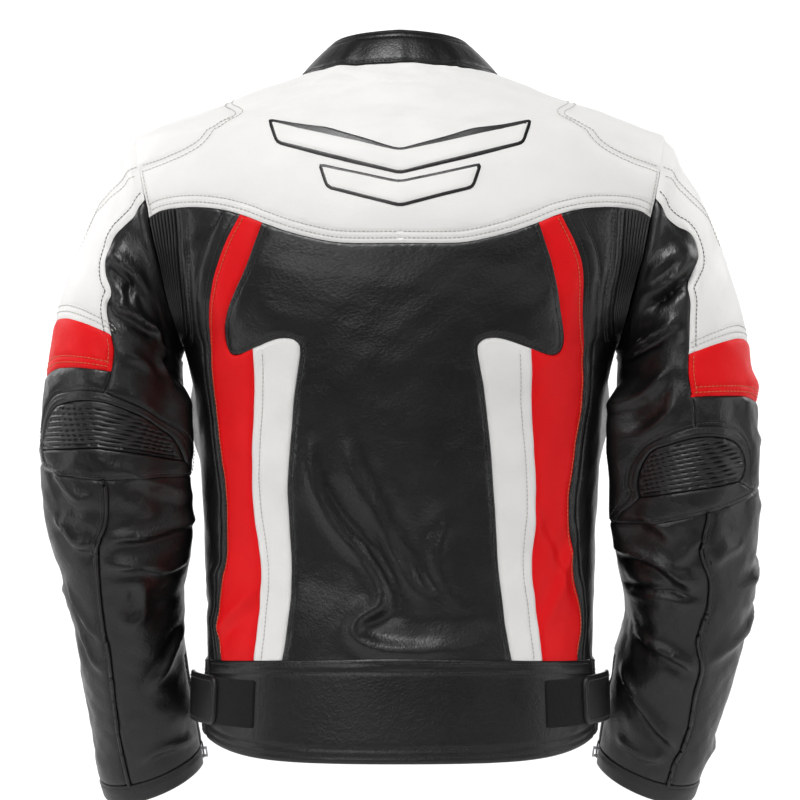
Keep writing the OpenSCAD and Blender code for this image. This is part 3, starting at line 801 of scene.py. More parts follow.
def plated(name, base, rough=0.3):
    s = Shader(name)
    where = s.place()
    scratch = s.noise(where, 900, 3, 0.7)
    smudge = s.noise(where, 120, 2)
    s.set(Base_Color=s.blend_colour(smudge, rgba(*base), rgba(*[c * 0.7 for c in base])),
          Metallic=1.0, Roughness=s.remap(scratch, 0.3, 0.7, rough, rough + 0.18),
          Normal=s.bump(scratch, 0.0001, 0.5))
    return s.material


def tape(name, base):
    """Woven zip tape, whose coordinates are the object's own."""
    s = Shader(name)
    where = s.place()
    weave = s.cells(where, 1500)
    s.set(Base_Color=s.blend_colour(weave, rgba(*base), rgba(*[c * 1.6 for c in base])),
          Roughness=0.85, Normal=s.bump(weave, 0.0003, 0.8), Sheen_Weight=0.2)
    return s.material


BLACK = leather("black_leather", (0.0034, 0.0036, 0.0034), (0.002, 0.002, 0.002), 2.2, 0.19,
                0.28, 0.14, wear=(0.03, 0.03, 0.03))
BLACK_FINE = leather("black_leather_fine", (0.0034, 0.0036, 0.0034), (0.002, 0.002, 0.002), 1.4,
                     0.12, 0.28, 0.1, wear=(0.03, 0.03, 0.03))
WHITE = leather("white_leather", (0.82, 0.812, 0.80), (0.75, 0.74, 0.72), 1.6, 0.1, 0.44, 0.15)
RED = leather("red_leather", (0.78, 0.003, 0.006), (0.66, 0.002, 0.004), 1.6, 0.1, 0.42, 0.15,
              shine=0.2)
LINING = fabric("lining_mesh", (0.012, 0.012, 0.014), (0.007, 0.007, 0.008), 1.7, 0.5)
PILE = plush("hook_loop", (0.004, 0.004, 0.0045))
FOAM = fabric("armour_foam", (0.03, 0.03, 0.032), (0.02, 0.02, 0.02), 3.0, 0.4, 0.1, 0.8)
THREAD = {
    "black": thread("thread_black", (0.02, 0.02, 0.02)),
    "white": thread("thread_white", (0.62, 0.60, 0.57)),
    "orange": thread("thread_orange", (0.75, 0.16, 0.05)),
    "dark": thread("thread_dark", (0.02, 0.02, 0.02)),
}
ZIP_METAL = plated("zip_metal", (0.42, 0.42, 0.44))
SNAP_METAL = plated("snap_metal", (0.5, 0.5, 0.52), 0.22)
ZIP_TAPE = tape("zip_tape", (0.008, 0.008, 0.009))


# ---- Folds -----------------------------------------------------------------------------


def fold(uv, path, height, width, trough=0.6, lean=1.45, taper=0.3):
    """A crease that rises along a path, with a shallower hollow on its left side."""
    path = spline(path, 6)
    reach = 5 * width
    near = np.all((uv > path.min(0) - reach) & (uv < path.max(0) + reach), axis=1)
    out = np.zeros(len(uv))
    if near.any():
        out[near] = fold_near(uv[near], path, height, width, trough, lean, taper)
    return out


def fold_near(uv, path, height, width, trough, lean, taper):
    gap, run, side, total = path_distance(uv, path)
    t = run / max(total, 1e-6)
    ends = ease(t / taper) * ease((1 - t) / taper)
    d = gap * np.where(side == 0, 1, side)
    crest = np.exp(-((np.abs(d) / (0.9 * width)) ** 1.5))
    hollow = np.exp(-(((d - lean * width) / (1.1 * width)) ** 2))
    return height * ends * (crest - trough * hollow)


def ripple(uv, seed, size, amount):
    """Gentle unevenness, the same on every run."""
    rng = np.random.default_rng(seed)
    total = np.zeros(len(uv))
    for _ in range(9):
        angle = rng.uniform(0, TAU)
        wave = rng.uniform(0.6, 1.6) * size
        phase = rng.uniform(0, TAU)
        run = uv[:, 0] * math.cos(angle) + uv[:, 1] * math.sin(angle)
        total += np.sin(run * TAU / wave + phase)
    return amount * total / 3


# ---- Seam lines on the torso, in millimetres as (x, z) ---------------------------------

YOKE_EDGE = [
    (0, -166), (42, -166), (65, -164), (96.5, -156.5), (123.5, -147), (143.5, -139),
    (169, -133), (196, -131.5), (217, -134), (229.6, -140),
]
PANEL_EDGE = [
    (124, -146.8), (137, -183), (149, -220), (154, -249), (150, -263), (141, -265.5),
    (126, -260), (103, -252), (91, -251), (83, -254), (80, -263), (85.5, -297), (90, -340),
    (93.5, -395), (94, -458), (98, -503), (105, -546),
]
WHITE_EDGE = [
    (126, -260), (126, -306), (128.5, -351), (129.5, -395), (124, -458), (127, -494),
    (132, -546),
]
RED_EDGE = [
    (144, -139), (157.5, -165), (165.5, -188), (169, -216), (171, -261), (169, -311),
    (162, -364), (158, -404), (160, -449), (167.5, -494), (168.5, -516), (165, -546),
]
GUSSET_EDGE = [(205, -132.2), (201, -182), (197, -225), (199, -246)]
SHOULDER_SEAM = [
    (239, -94.5), (215, -87.5), (194, -79), (177, -66), (162, -53), (149, -39),
]
FRONT_YOKE_EDGE = [(9, -171.5), (60, -164), (120, -148), (180, -138), (229.6, -140)]
FRONT_SEAM = [(138, -144.5), (135.5, -180), (127, -262), (120, -400), (112, -546)]
FRONT_RED_EDGE = [(172, -139.5), (168, -180), (160, -262), (153, -400), (146, -546)]
FRONT_EDGE_X = 9
PANEL_FOOT = -556
TORSO_SKIN = torso_surface()


def neckline(angle):
    """The neck seam, from 0 at the middle of the front to 180 at the middle of the back."""
    x = NECK_HALF * math.sin(math.radians(angle))
    if angle < 90:
        return x, float(smooth_table(NECK_DROP, angle))
    return x, NECK_SIDE_Z + 6 * math.cos(math.radians(angle)) ** 2


def armhole(z_from, z_to, front, count=24):
    """Domain points round the armhole, following its own height."""
    t = np.linspace(0, 1, count)
    z = z_from + (z_to - z_from) * t
    z = np.clip(z, ARMPIT_Z + 0.02, SHOULDER_Z - 0.02)
    flat = np.column_stack([armhole_x(z), z])
    return front_uv(flat) if front else back_uv(flat)


def joined(*paths):
    return np.vstack(paths)


def flip(paths):
    """The same outline on the right side of the torso."""
    return [np.asarray(p) * [-1, 1] for p in paths]


def back_line(points):
    return back_uv(spline(points, 3))


def front_line(points):
    return front_uv(spline(points, 3))


def q_line(q0, q1, z):
    q = np.linspace(q0, q1, max(3, int(abs(q1 - q0) / 1.5)))
    return np.column_stack([q * Q_SCALE, np.full(len(q), float(z_to_v(z)))])


SEAMS = {
    "yoke": back_line(YOKE_EDGE),
    "panel": back_line(PANEL_EDGE),
    "white": back_line(WHITE_EDGE),
    "red": back_line(RED_EDGE),
    "gusset": back_line(GUSSET_EDGE),
    "front_yoke": front_line(FRONT_YOKE_EDGE),
    "front": front_line(FRONT_SEAM),
    "front_red": front_line(FRONT_RED_EDGE),
    "front_edge": front_uv([(FRONT_EDGE_X, z) for z in np.linspace(PANEL_FOOT, -171.5, 60)]),
}
RIDGE = [(90, -23.5), (107, -13), (117.7, -5.2)]
SEAMS["shoulder"] = spline(joined(
    back_uv(SHOULDER_SEAM), [(q * Q_SCALE, float(z_to_v(z))) for q, z in RIDGE]), 3)
SEAMS["armhole_low"] = armhole(-140, ARMPIT_Z, False)
SEAMS["armhole_high"] = armhole(-140, -94.5, False)
SEAMS["armhole_front"] = joined(
    armhole(-94.5, SHOULDER_Z, False), armhole(SHOULDER_Z, -140, True))
SEAMS["armhole_front_low"] = armhole(-140, ARMPIT_Z, True)
NECK_TURN = 76  # the neckline's angle where the shoulder seam meets it


def piece_of(path, start, end):
    """The stretch of a path between the points nearest to start and end."""
    i = int(np.argmin(np.hypot(*(path - start).T)))
    j = int(np.argmin(np.hypot(*(path - end).T)))
    part = path[min(i, j) : max(i, j) + 1].copy()
    if i > j:
        part = part[::-1]
    part[0], part[-1] = start, end
    return part


def make_torso():
    s = SEAMS
    skin = TORSO_SKIN

    # Yokes.
    neck_back = back_uv([neckline(a) for a in np.linspace(90, 180, 40)])
    neck_side = front_uv([neckline(a) for a in np.linspace(NECK_TURN, 90, 8)])
    neck_left = joined(neck_side, neck_back)
    shoulder = s["shoulder"].copy()
    shoulder[-1] = neck_left[0]
    right = [p * [-1, 1] for p in (s["yoke"], s["armhole_high"], shoulder, neck_left)]
    yoke = cut("yoke_back", skin, [
        s["yoke"], s["armhole_high"], shoulder, neck_left,
        right[3][::-1], right[2][::-1], right[1][::-1], right[0][::-1],
    ], WHITE, TORSO, spacing=5.5, sink=1.0)
    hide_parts("back_yoke")
    neck_front = front_uv([neckline(a) for a in np.linspace(math.degrees(
        math.asin(FRONT_EDGE_X / NECK_HALF)), NECK_TURN, 40)])
    for side, turn in (("left", list), ("right", flip)):
        front_edge = joined(front_uv([(FRONT_EDGE_X, z) for z in np.linspace(
            -171.5, neckline(5.5)[1], 40)]))
        piece = cut(f"yoke_front_{side}", skin, turn([
            shoulder[::-1], s["armhole_front"], s["front_yoke"][::-1], front_edge, neck_front,
        ]), WHITE, TORSO, spacing=5.5, sink=1.0)
        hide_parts("front_yokes")

    # The black back panel, shaped like a T.
    centre = piece_of(s["yoke"], s["yoke"][0], s["panel"][0])
    foot = q_line(*(np.array([s["panel"][-1][0], 0]) / Q_SCALE), PANEL_FOOT)
    back = cut("back_panel_skin", skin, [
        centre, s["panel"], foot, foot[::-1] * [-1, 1],
        s["panel"][::-1] * [-1, 1], centre[::-1] * [-1, 1],
    ], BLACK, TORSO, spacing=4.2)
    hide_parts("back_panel")

    for side, turn in (("left", list), ("right", flip)):
        # White stripe below the T's arm.
        top = piece_of(s["panel"], s["white"][0], s["panel"][-1])
        stripe = cut(f"white_stripe_{side}", skin, turn([
            top, q_line(top[-1][0] / Q_SCALE, s["white"][-1][0] / Q_SCALE, PANEL_FOOT),
            s["white"][::-1],
        ]), WHITE, TORSO, spacing=5)
        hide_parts("back_white_stripes")
        # Red stripe, outside the T's arm and then outside the white.
        outer = piece_of(s["panel"], s["panel"][0], s["white"][0])
        yoke_part = piece_of(s["yoke"], s["panel"][0], s["red"][0])
        stripe = cut(f"red_stripe_{side}", skin, turn([
            yoke_part, s["red"],
            q_line(s["red"][-1][0] / Q_SCALE, s["white"][-1][0] / Q_SCALE, PANEL_FOOT),
            s["white"][::-1], outer[::-1],
        ]), RED, TORSO, spacing=5)
        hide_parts("back_red_stripes")
        # Black side panel, right round under the arm.
        yoke_part = piece_of(s["yoke"], s["red"][0], s["gusset"][0])
        tip = joined(s["gusset"], s["armhole_low"][-1:])
        front_yoke = piece_of(s["front_yoke"], s["armhole_front_low"][0], s["front_red"][0])
        panel = cut(f"side_skin_{side}", skin, turn([
            yoke_part, tip, s["armhole_front_low"][::-1], front_yoke, s["front_red"],
            q_line(s["front_red"][-1][0] / Q_SCALE, s["red"][-1][0] / Q_SCALE, PANEL_FOOT),
            s["red"][::-1],
        ]), BLACK, TORSO, spacing=5)
        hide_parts(f"side_panel_{side}")
        # Front red stripe and front panel.
        front_yoke = piece_of(s["front_yoke"], s["front_red"][0], s["front"][0])
        panel = cut(f"front_stripe_{side}", skin, turn([
            front_yoke, s["front"],
            q_line(s["front"][-1][0] / Q_SCALE, s["front_red"][-1][0] / Q_SCALE, PANEL_FOOT),
            s["front_red"][::-1],
        ]), RED, TORSO, spacing=5.5)
        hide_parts("front_red_stripes")
        front_yoke = piece_of(s["front_yoke"], s["front"][0], s["front_yoke"][0])
        panel = cut(f"front_skin_{side}", skin, turn([
            front_yoke, s["front_edge"][::-1],
            q_line(s["front_edge"][0][0] / Q_SCALE, s["front"][-1][0] / Q_SCALE, PANEL_FOOT),
            s["front"][::-1],
        ]), BLACK, TORSO, spacing=5.5)
        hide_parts(f"front_panel_{side}")
        gusset_ribs(f"gusset_{side}", skin, s, side)


GUSSET_RIBS = 8
RIB_DEPTH = 2.2


def gusset_ribs(name, skin, s, side):
    """The stretch gusset: rolls that run down from the yoke to a point under the arm."""
    inner = resample(joined(s["gusset"], s["armhole_low"][-1:]), 1.0)
    outer = s["armhole_low"]
    n = 120
    t = np.linspace(0, 1, n)
    where_i = np.linspace(0, 1, len(inner))
    leg = np.linalg.norm(np.diff(outer, axis=0), axis=1)
    run = np.concatenate([[0], np.cumsum(leg)]) / leg.sum()
    a = np.column_stack([np.interp(t, where_i, inner[:, k]) for k in (0, 1)])
    b = np.column_stack([np.interp(t, run, outer[:, k]) for k in (0, 1)])
    top = piece_of(s["yoke"], s["gusset"][0], s["yoke"][-1])
    lift_top = np.interp(np.linspace(0, 1, 50), np.linspace(0, 1, len(top)), top[:, 1])

    def relief(ss, tt):
        ribs = np.abs(np.sin(ss * GUSSET_RIBS * math.pi)) ** 0.7
        fade = ease((1 - tt) / 0.12) * ease(tt / 0.02 + 0.25)
        edge = -1.6 * (1 - ease(np.minimum(ss, 1 - ss) / 0.05))
        return RIB_DEPTH * (ribs - 0.75) * fade + edge * 0.6

    columns = GUSSET_RIBS * 8
    uv_rows = []
    for j in range(n):
        w = np.linspace(0, 1, columns + 1)[:, None]
        row = a[j] * (1 - w) + b[j] * w
        rise = np.interp(w[:, 0], np.linspace(0, 1, 50), lift_top)
        straight = lift_top[0] + (lift_top[-1] - lift_top[0]) * w[:, 0]
        row[:, 1] += (rise - straight) * (1 - t[j]) ** 2
        uv_rows.append(row)
    piece = grid_panel(name, skin, np.array(uv_rows), relief, BLACK_FINE, TORSO,
                       mirror=side == "right")
    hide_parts("stretch_gussets")
    return piece


def grid_panel(name, surface, uv, relief, material, carrier, thick=1.7, lift=0.0,
               mirror=False):
    """A panel as a regular grid of domain points, rows by columns, with its own relief."""
    rows, cols = uv.shape[:2]
    ss, tt = np.meshgrid(np.linspace(0, 1, cols), np.linspace(0, 1, rows))
    height = lift + relief(ss.ravel(), tt.ravel())
    flat = uv.reshape(-1, 2)
    if mirror:
        flat = flat * [-1, 1]
    corners = [j * cols + i for j in range(rows - 1) for i in range(cols - 1)]
    tris = [(p, p + 1, p + cols + 1, p + cols) for p in corners]
    rim = [(i, i + 1) for i in range(cols - 1)]
    rim += [(j * cols + cols - 1, (j + 1) * cols + cols - 1) for j in range(rows - 1)]
    rim += [((rows - 1) * cols + i + 1, (rows - 1) * cols + i) for i in range(cols - 1)]
    rim += [((j + 1) * cols, j * cols) for j in range(rows - 1)]
    loop = flat[[r[0] for r in rim]]
    area = np.sum(loop[:, 0] * np.roll(loop[:, 1], -1) - np.roll(loop[:, 0], -1) * loop[:, 1])
    if area < 0:
        tris = [x[::-1] for x in tris]
        rim = [x[::-1] for x in rim]
    return shell(name, surface, flat, tris, rim, height, thick, material, carrier,
                 np.zeros(len(flat)))


# ---- Sleeves ---------------------------------------------------------------------------

FINE_K = np.arange(0, 15.001, 0.02)
FINE_PSI = np.arange(-4, 184.01, 0.5)
FINE = sleeve_base(*np.meshgrid(FINE_PSI, FINE_K))


def sleeve_at(points):
    """Domain points for places on the back of the left sleeve given as (x, z)."""
    out = []
    for x, z in points:
        gap = (FINE[..., 0] - x) ** 2 + (FINE[..., 2] - z) ** 2
        row, column = np.unravel_index(np.argmin(gap), gap.shape)
        out.append((FINE_K[row], FINE_PSI[column]))
    return sleeve_uv(out)


def sleeve_line(points, step=3):
    return spline(sleeve_at(points), step)


SLEEVE_SEAMS = {
    "left": {
        "s_edge": [
            (239.5, -134.8), (251, -145), (260.4, -155.3), (265, -166.8), (269.3, -180.5),
            (268.9, -191.9), (264.3, -201.9), (263.4, -210), (266.6, -217), (267.7, -223.8),
            (266, -235), (263, -247.6),
        ],
        "band_end": [(263, -247.6), (260.5, -262), (262, -280.4)],
        "below_band": [(262, -280.4), (266, -292), (268.5, -300.5)],
        "dome": [
            (331.5, -353), (329, -338.6), (324.6, -324.6), (317, -313), (306, -308.3),
            (288, -306), (268.7, -308.5), (250, -314.2), (234, -322), (221.7, -331),
            (213.5, -341.5), (208.6, -362),
        ],
        "dome_foot": [
            (208.6, -362), (234, -356.5), (268.7, -351.5), (280, -350.4), (306, -351.6),
            (331.5, -353),
        ],
        "back_seam": [
            (272, -362), (268, -388), (269, -418), (275.5, -434.5), (278.4, -446),
            (278.4, -472), (276.5, -503.5), (274.6, -523), (270.8, -542.6), (269, -575.8),
            (266.5, -611), (262.9, -644.4), (259.5, -664),
        ],
        "cap": [(239, -94.5), (255.8, -106), (281, -129.5), (295, -148)],
        "band_top": [(4.27, 90), (4.55, 45), (4.85, 0), (4.6, -45), (4.3, -88)],
        "band_foot": [(5.37, 92), (5.68, 45), (5.97, 0), (5.75, -45), (5.4, -88)],
        "elbow_seam": [(7.72, 28), (7.77, 60), (7.77, 90), (7.7, 130), (7.72, 162)],
        "splits": (5.9, 8.6),
    },
    "right": {
        "s_edge": [
            (241.5, -137), (255, -147.5), (267.4, -155.5), (274.5, -171.2), (269.5, -186.7),
            (262.8, -202.4), (265.3, -217.9), (264.2, -236.3), (262.5, -264.5),
        ],
        "band_end": [(262.5, -264.5), (262.6, -284), (266, -303)],
        "below_band": [(266, -303), (268.5, -318), (269.5, -331)],
        "dome": [
            (311, -381.6), (316.8, -372.5), (315.8, -357.5), (307.1, -345), (289.2, -339.6),
            (267.5, -340.8), (246.7, -346.1), (230, -353.2), (221.6, -367.2), (218.6, -382.6),
            (220.4, -395.9),
        ],
        "dome_foot": [
            (220.4, -395.9), (244.3, -393), (268.2, -388.8), (293.1, -385), (311, -381.6),
        ],
        "back_seam": [
            (279.3, -389.6), (282.6, -409.9), (278.2, -434.2), (277.2, -449.5),
            (285.4, -472.1), (285.5, -487.5), (284.5, -500), (279.1, -516.6),
            (276.5, -532.1), (280.5, -556.1), (275.8, -584), (273.4, -611.6), (266.5, -637),
            (260, -650), (256.6, -664),
        ],
        "cap": [(239, -94.5), (255.8, -106), (281, -129.5), (295, -148)],
        "band_top": [(4.88, 90), (5.05, 45), (5.29, 0), (5.1, -45), (4.9, -88)],
        "band_foot": [(6.04, 92), (6.3, 45), (6.52, 0), (6.3, -45), (6.05, -88)],
        "elbow_seam": [(8.15, 28), (8.3, 60), (8.42, 90), (8.6, 130), (8.66, 158)],
        "splits": (6.35, 9.3),
    },
}
FRONT_PSI = -88  # the white and red outer panels' front edge
WRAP = 360 * PSI_SCALE
CUFF_K, ZIP_K, ZIP_HALF_PSI = 14.36, 11.7, 7.6


def ring_line(points, step=3):
    return spline(sleeve_uv(points), step)


def seam_paths(side):
    """Every seam of one sleeve in the domain."""
    raw = SLEEVE_SEAMS[side]
    out = {k: sleeve_line(raw[k]) for k in (
        "s_edge", "band_end", "below_band", "dome", "dome_foot", "back_seam", "cap")}
    for k in ("band_top", "band_foot", "elbow_seam"):
        out[k] = ring_line(raw[k])
    out["s_edge"][0][1] = 0
    out["cap"][0][1] = 0
    out["band_top"][0] = out["band_end"][0] = out["s_edge"][-1]
    out["band_end"][-1] = out["band_foot"][0]
    out["below_band"][0] = out["band_foot"][0]
    out["dome_foot"][0], out["dome_foot"][-1] = out["dome"][-1], out["dome"][0]
    out["cap"] = spline(joined(out["cap"][:1], out["cap"][8::8], sleeve_uv([
        (3.15, 4), (3.3, -18), (2.6, -42), (1.2, -56), (0, -60)])), 3)
    dome, foot, seam = out["dome"], out["dome_foot"], out["elbow_seam"]
    surround = outward(dome, -8.5)
    if inside(surround[len(surround) // 2][None], joined(dome, foot))[0]:
        surround = outward(dome, 8.5)
    surround[0], surround[-1] = seam[0], seam[-1]
    out["surround"] = spline(joined(surround[:-1:3], surround[-1:]), 3)
    # The forearm's piped seam, in the elbow's length and the forearm's.
    cuff_v, split_v = float(k_to_v(CUFF_K)), float(k_to_v(raw["splits"][1]))
    back = out["back_seam"]
    start = seam[int(np.argmin(np.hypot(*(seam - back[0]).T)))]
    back = joined([start], back[(back[:, 1] < start[1] - 4) & (back[:, 1] > cuff_v + 2)])
    back = joined(back, [(back[-1][0], cuff_v)])
    cross = [(float(np.interp(-split_v, -back[:, 1], back[:, 0])), split_v)]
    low = back[:, 1] < split_v
    out["high_part"], out["low_part"] = joined(back[~low], cross), joined(cross, back[low])
    return out


def outward(path, distance):
    """The same path moved to its right."""
    p = resample(path, 3)
    tangent = np.gradient(p, axis=0)
    tangent /= np.linalg.norm(tangent, axis=1, keepdims=True)
    return p + np.column_stack([tangent[:, 1], -tangent[:, 0]]) * distance


def k_line(k, psi0, psi1):
    psi = np.linspace(psi0, psi1, max(3, int(abs(psi1 - psi0) / 3)))
    return sleeve_uv(np.column_stack([np.full(len(psi), k), psi]))


def psi_line(psi, k0, k1):
    return sleeve_uv([(k, psi) for k in np.linspace(k0, k1, 30)])


RIB_PITCH = 4.4


def make_sleeve(side):
    skin = SLEEVE_SKIN[side]
    c = carriers(side)
    f = SLEEVE[side]
    raw = SLEEVE_SEAMS[side]
    upper_split, lower_split = raw["splits"]
    hole = 0.0  # the ring that is sewn into the armhole
    s_edge, band_end = f["s_edge"], f["band_end"]
    band_top, band_foot = f["band_top"], f["band_foot"]
    top_front_k, foot_front_k = raw["band_top"][-1][0], raw["band_foot"][-1][0]
    psi_s, psi_cap = s_edge[0][0] / PSI_SCALE, f["cap"][0][0] / PSI_SCALE
    cap = f["cap"]
    cut(f"sleeve_cap_{side}", skin, [k_line(hole, psi_cap, -60), cap[::-1]], WHITE,
        c["shoulder"], sink=1.0)
    outer = cut(f"sleeve_white_{side}", skin, [
        k_line(hole, psi_s, psi_cap), cap, k_line(hole, -60, FRONT_PSI),
        psi_line(FRONT_PSI, hole, top_front_k), band_top[::-1], s_edge[::-1],
    ], WHITE, c["shoulder"], sink=1.0)
    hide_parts(f"sleeve_outer_{side}")
    band = cut(f"sleeve_red_{side}", skin, [
        band_top, psi_line(FRONT_PSI, top_front_k, foot_front_k), band_foot[::-1],
        band_end[::-1],
    ], RED, c["shoulder"], lift=0.3)
    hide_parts(f"sleeve_band_{side}")

    # Black inner half, from the armhole down to the elbow, right round the inside.
    below = f["below_band"]
    cross = below[int(np.argmin(np.abs(below[:, 1] - float(k_to_v(upper_split)))))]
    split_psi = cross[0] / PSI_SCALE
    cross = sleeve_uv([(upper_split, split_psi)])[0]
    if band_foot[0][1] > cross[1] + 3:
        below = joined(below[below[:, 1] > cross[1] + 1.5], [cross])
    round_psi = FRONT_PSI + 360
    inner = cut(f"sleeve_inner_skin_{side}", skin, [
        k_line(hole, round_psi, psi_s), s_edge, band_end, below,
        k_line(upper_split, split_psi, round_psi), psi_line(round_psi, upper_split, hole),
    ], BLACK, c["shoulder"], spacing=3.6, flat=(4,))
    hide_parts(f"sleeve_inner_{side}")

    # Round the elbow.
    dome, foot, seam = f["dome"], f["dome_foot"], f["elbow_seam"]
    surround = f["surround"]
    seam_k0, seam_k1 = raw["elbow_seam"][0][0], raw["elbow_seam"][-1][0]
    psi0, psi1 = raw["elbow_seam"][0][1], raw["elbow_seam"][-1][1]
    up = int(np.argmin(np.abs(surround[:, 0] - below[-1][0]) + 1e3 * (
        surround[:, 1] < dome[:, 1].mean())))
    below2 = joined([below[-1]], [surround[up]])
    outer = cut(f"elbow_outer_{side}", skin, [
        band_foot[::-1], below, below2, surround[: up + 1][::-1],
        k_line(seam_k0, psi0, FRONT_PSI), psi_line(FRONT_PSI, seam_k0, foot_front_k),
    ], BLACK, c["elbow"], spacing=4)
    cut(f"elbow_inner_{side}", skin, [
        k_line(upper_split, split_psi, round_psi), psi_line(round_psi, upper_split, seam_k1),
        k_line(seam_k1, round_psi, psi1), surround[up:][::-1], below2[::-1],
    ], BLACK, c["elbow"], spacing=3.6, flat=(0,))
    cut(f"elbow_surround_{side}", skin, [
        surround, joined([seam[-1]], [dome[-1]]), dome[::-1], joined([dome[0]], [seam[0]]),
    ], BLACK, c["elbow"], lift=0.9, spacing=3.4, sink=1.2, reach=3)
    cut(f"elbow_lower_{side}", skin, [
        foot, joined([dome[0]], [seam[0]]), seam, joined([seam[-1]], [dome[-1]]),
    ], BLACK, c["elbow"], lift=0.6, spacing=3.4, sink=1.2, reach=3)

    base = foot[np.argsort(foot[:, 0])]

    def ribs(uv, gap):
        rise = uv[:, 1] - np.interp(uv[:, 0], base[:, 0], base[:, 1])
        wave = np.abs(np.sin(math.pi * rise / RIB_PITCH)) ** 0.65
        return 2.2 * (wave - 0.62) * ease(gap / 2.5)

    ribbed = cut(f"elbow_ribs_{side}", skin, [dome, foot], BLACK_FINE, c["elbow"],
                 spacing=1.2, sink=1.6, reach=2.5, shape=ribs)
    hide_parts(f"elbow_rib_panel_{side}")
    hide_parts(f"elbow_shell_{side}")

    # Forearm: two panels joined by the piped seam, cut once more where the elbow ends.
    high_part, low_part = f["high_part"], f["low_part"]
    at = int(np.argmin(np.hypot(*(seam - high_part[0]).T)))
    cross_psi, end_psi = low_part[0][0] / PSI_SCALE, low_part[-1][0] / PSI_SCALE
    front_psi = -112
    # The elbow seam runs on round the front to meet itself.
    seam_front = ring_line([(seam_k1, psi1), (seam_k1, 200), (seam_k0, front_psi + 360)])
    cut(f"forearm_top_outer_{side}", skin, [
        high_part, k_line(lower_split, cross_psi, front_psi),
        psi_line(front_psi, lower_split, seam_k0), k_line(seam_k0, front_psi, psi0),
        seam[: at + 1],
    ], BLACK, c["elbow"], spacing=3.8, flat=(1,))
    cut(f"forearm_top_inner_{side}", skin, [
        high_part[::-1], seam[at:], seam_front,
        psi_line(front_psi + 360, seam_k0, lower_split),
        k_line(lower_split, front_psi + 360, cross_psi),
    ], BLACK, c["elbow"], spacing=3.8, flat=(4,))
    outer = cut(f"forearm_outer_{side}", skin, [
        low_part, k_line(CUFF_K, end_psi, front_psi), psi_line(front_psi, CUFF_K, lower_split),
        k_line(lower_split, front_psi, cross_psi),
    ], BLACK, c["forearm"], spacing=3.8, flat=(3,))
    gap0, gap1 = 180 - ZIP_HALF_PSI, 180 + ZIP_HALF_PSI
    cut(f"forearm_inner_{side}", skin, [
        low_part, k_line(CUFF_K, end_psi, gap0), psi_line(gap0, CUFF_K, ZIP_K),
        k_line(ZIP_K, gap0, gap1), psi_line(gap1, ZIP_K, CUFF_K),
        k_line(CUFF_K, gap1, front_psi + 360), psi_line(front_psi + 360, CUFF_K, lower_split),
        k_line(lower_split, front_psi + 360, cross_psi),
    ], BLACK, c["forearm"], spacing=3.8, flat=(7,))
    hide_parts(f"forearm_panels_{side}")
    for name, path, body in (("forearm", low_part, "forearm"), ("elbow", high_part, "elbow")):
        piping(f"{name}_piping_{side}", skin, path, 1.7, 0.7, BLACK_FINE, c[body])
    cuff = cut(f"cuff_hem_{side}", skin, [
        k_line(CUFF_K - 0.02, gap1, gap0 + 360), psi_line(gap0 + 360, CUFF_K, LAST_RING),
        k_line(LAST_RING, gap0 + 360, gap1), psi_line(gap1, LAST_RING, CUFF_K),
    ], BLACK, c["forearm"], lift=1.0, thick=2.6, spacing=4, sink=1.2)
    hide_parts(f"cuff_band_{side}")
    lining(side, skin, c)


def rim_distance(s, t):
    """How far inside the unit square, from 0 at its rim."""
    return np.minimum(np.minimum(s, 1 - s), np.minimum(t, 1 - t))


def level(s, t):
    return 0 * s


def lining(side, skin, c):
    """The mesh lining inside a sleeve, in three lengths, and the armour under it."""
    def tube_grid(k0, k1, rows, gap):
        psi = np.linspace(-180 + gap, 180 - gap, 64)
        k = np.linspace(k0, k1, rows)
        pp, kk = np.meshgrid(psi, k)
        return sleeve_uv(np.column_stack([kk.ravel(), pp.ravel()])).reshape(rows, 64, 2)

    high, low = SLEEVE_SEAMS[side]["splits"]
    upper = grid_panel(f"lining_upper_{side}", skin, tube_grid(0.25, high, 40, 0), level, LINING,
                       c["shoulder"], thick=0.8, lift=-6.4)
    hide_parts(f"sleeve_lining_{side}")
    grid_panel(f"lining_elbow_{side}", skin, tube_grid(high, low, 24, 0), level, LINING,
               c["elbow"], thick=0.8, lift=-6.4)
    lower = grid_panel(f"lining_lower_{side}", skin, tube_grid(low, 14.75, 40, 14), level,
                       LINING, c["forearm"], thick=0.8, lift=-6.4)
    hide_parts(f"forearm_lining_{side}")

    def crowned(s, t):
        return -0.5 * ease(rim_distance(s, t) / 0.3)

    def patch(k0, k1, p0, p1):
        pp, kk = np.meshgrid(np.linspace(p0, p1, 26), np.linspace(k0, k1, 26))
        return sleeve_uv(np.column_stack([kk.ravel(), pp.ravel()])).reshape(26, 26, 2)

    for joint, place, body in (("shoulder", (0.5, 4, -54, 54), c["shoulder"]),
                               ("elbow", (low + 0.15, 11.3, 34, 140), c["forearm"])):
        pad = grid_panel(f"pad_{joint}_{side}", skin, patch(*place), crowned, FOAM, body,
                         thick=8, lift=-9.2)
        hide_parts(f"{joint}_pad_{side}")


# ---- Collar ----------------------------------------------------------------------------

COLLAR_RISE = [(0, -20), (30, -9), (60, 10), (90, 28), (135, 34), (180, 37)]
COLLAR_HALF, COLLAR_FRONT, COLLAR_BACK = 62, 91, 50
COLLAR_U, COLLAR_HEIGHT = 1.3, 42.0
TAB_STANDOFF = 3.6  # the tab's outer face, off the collar


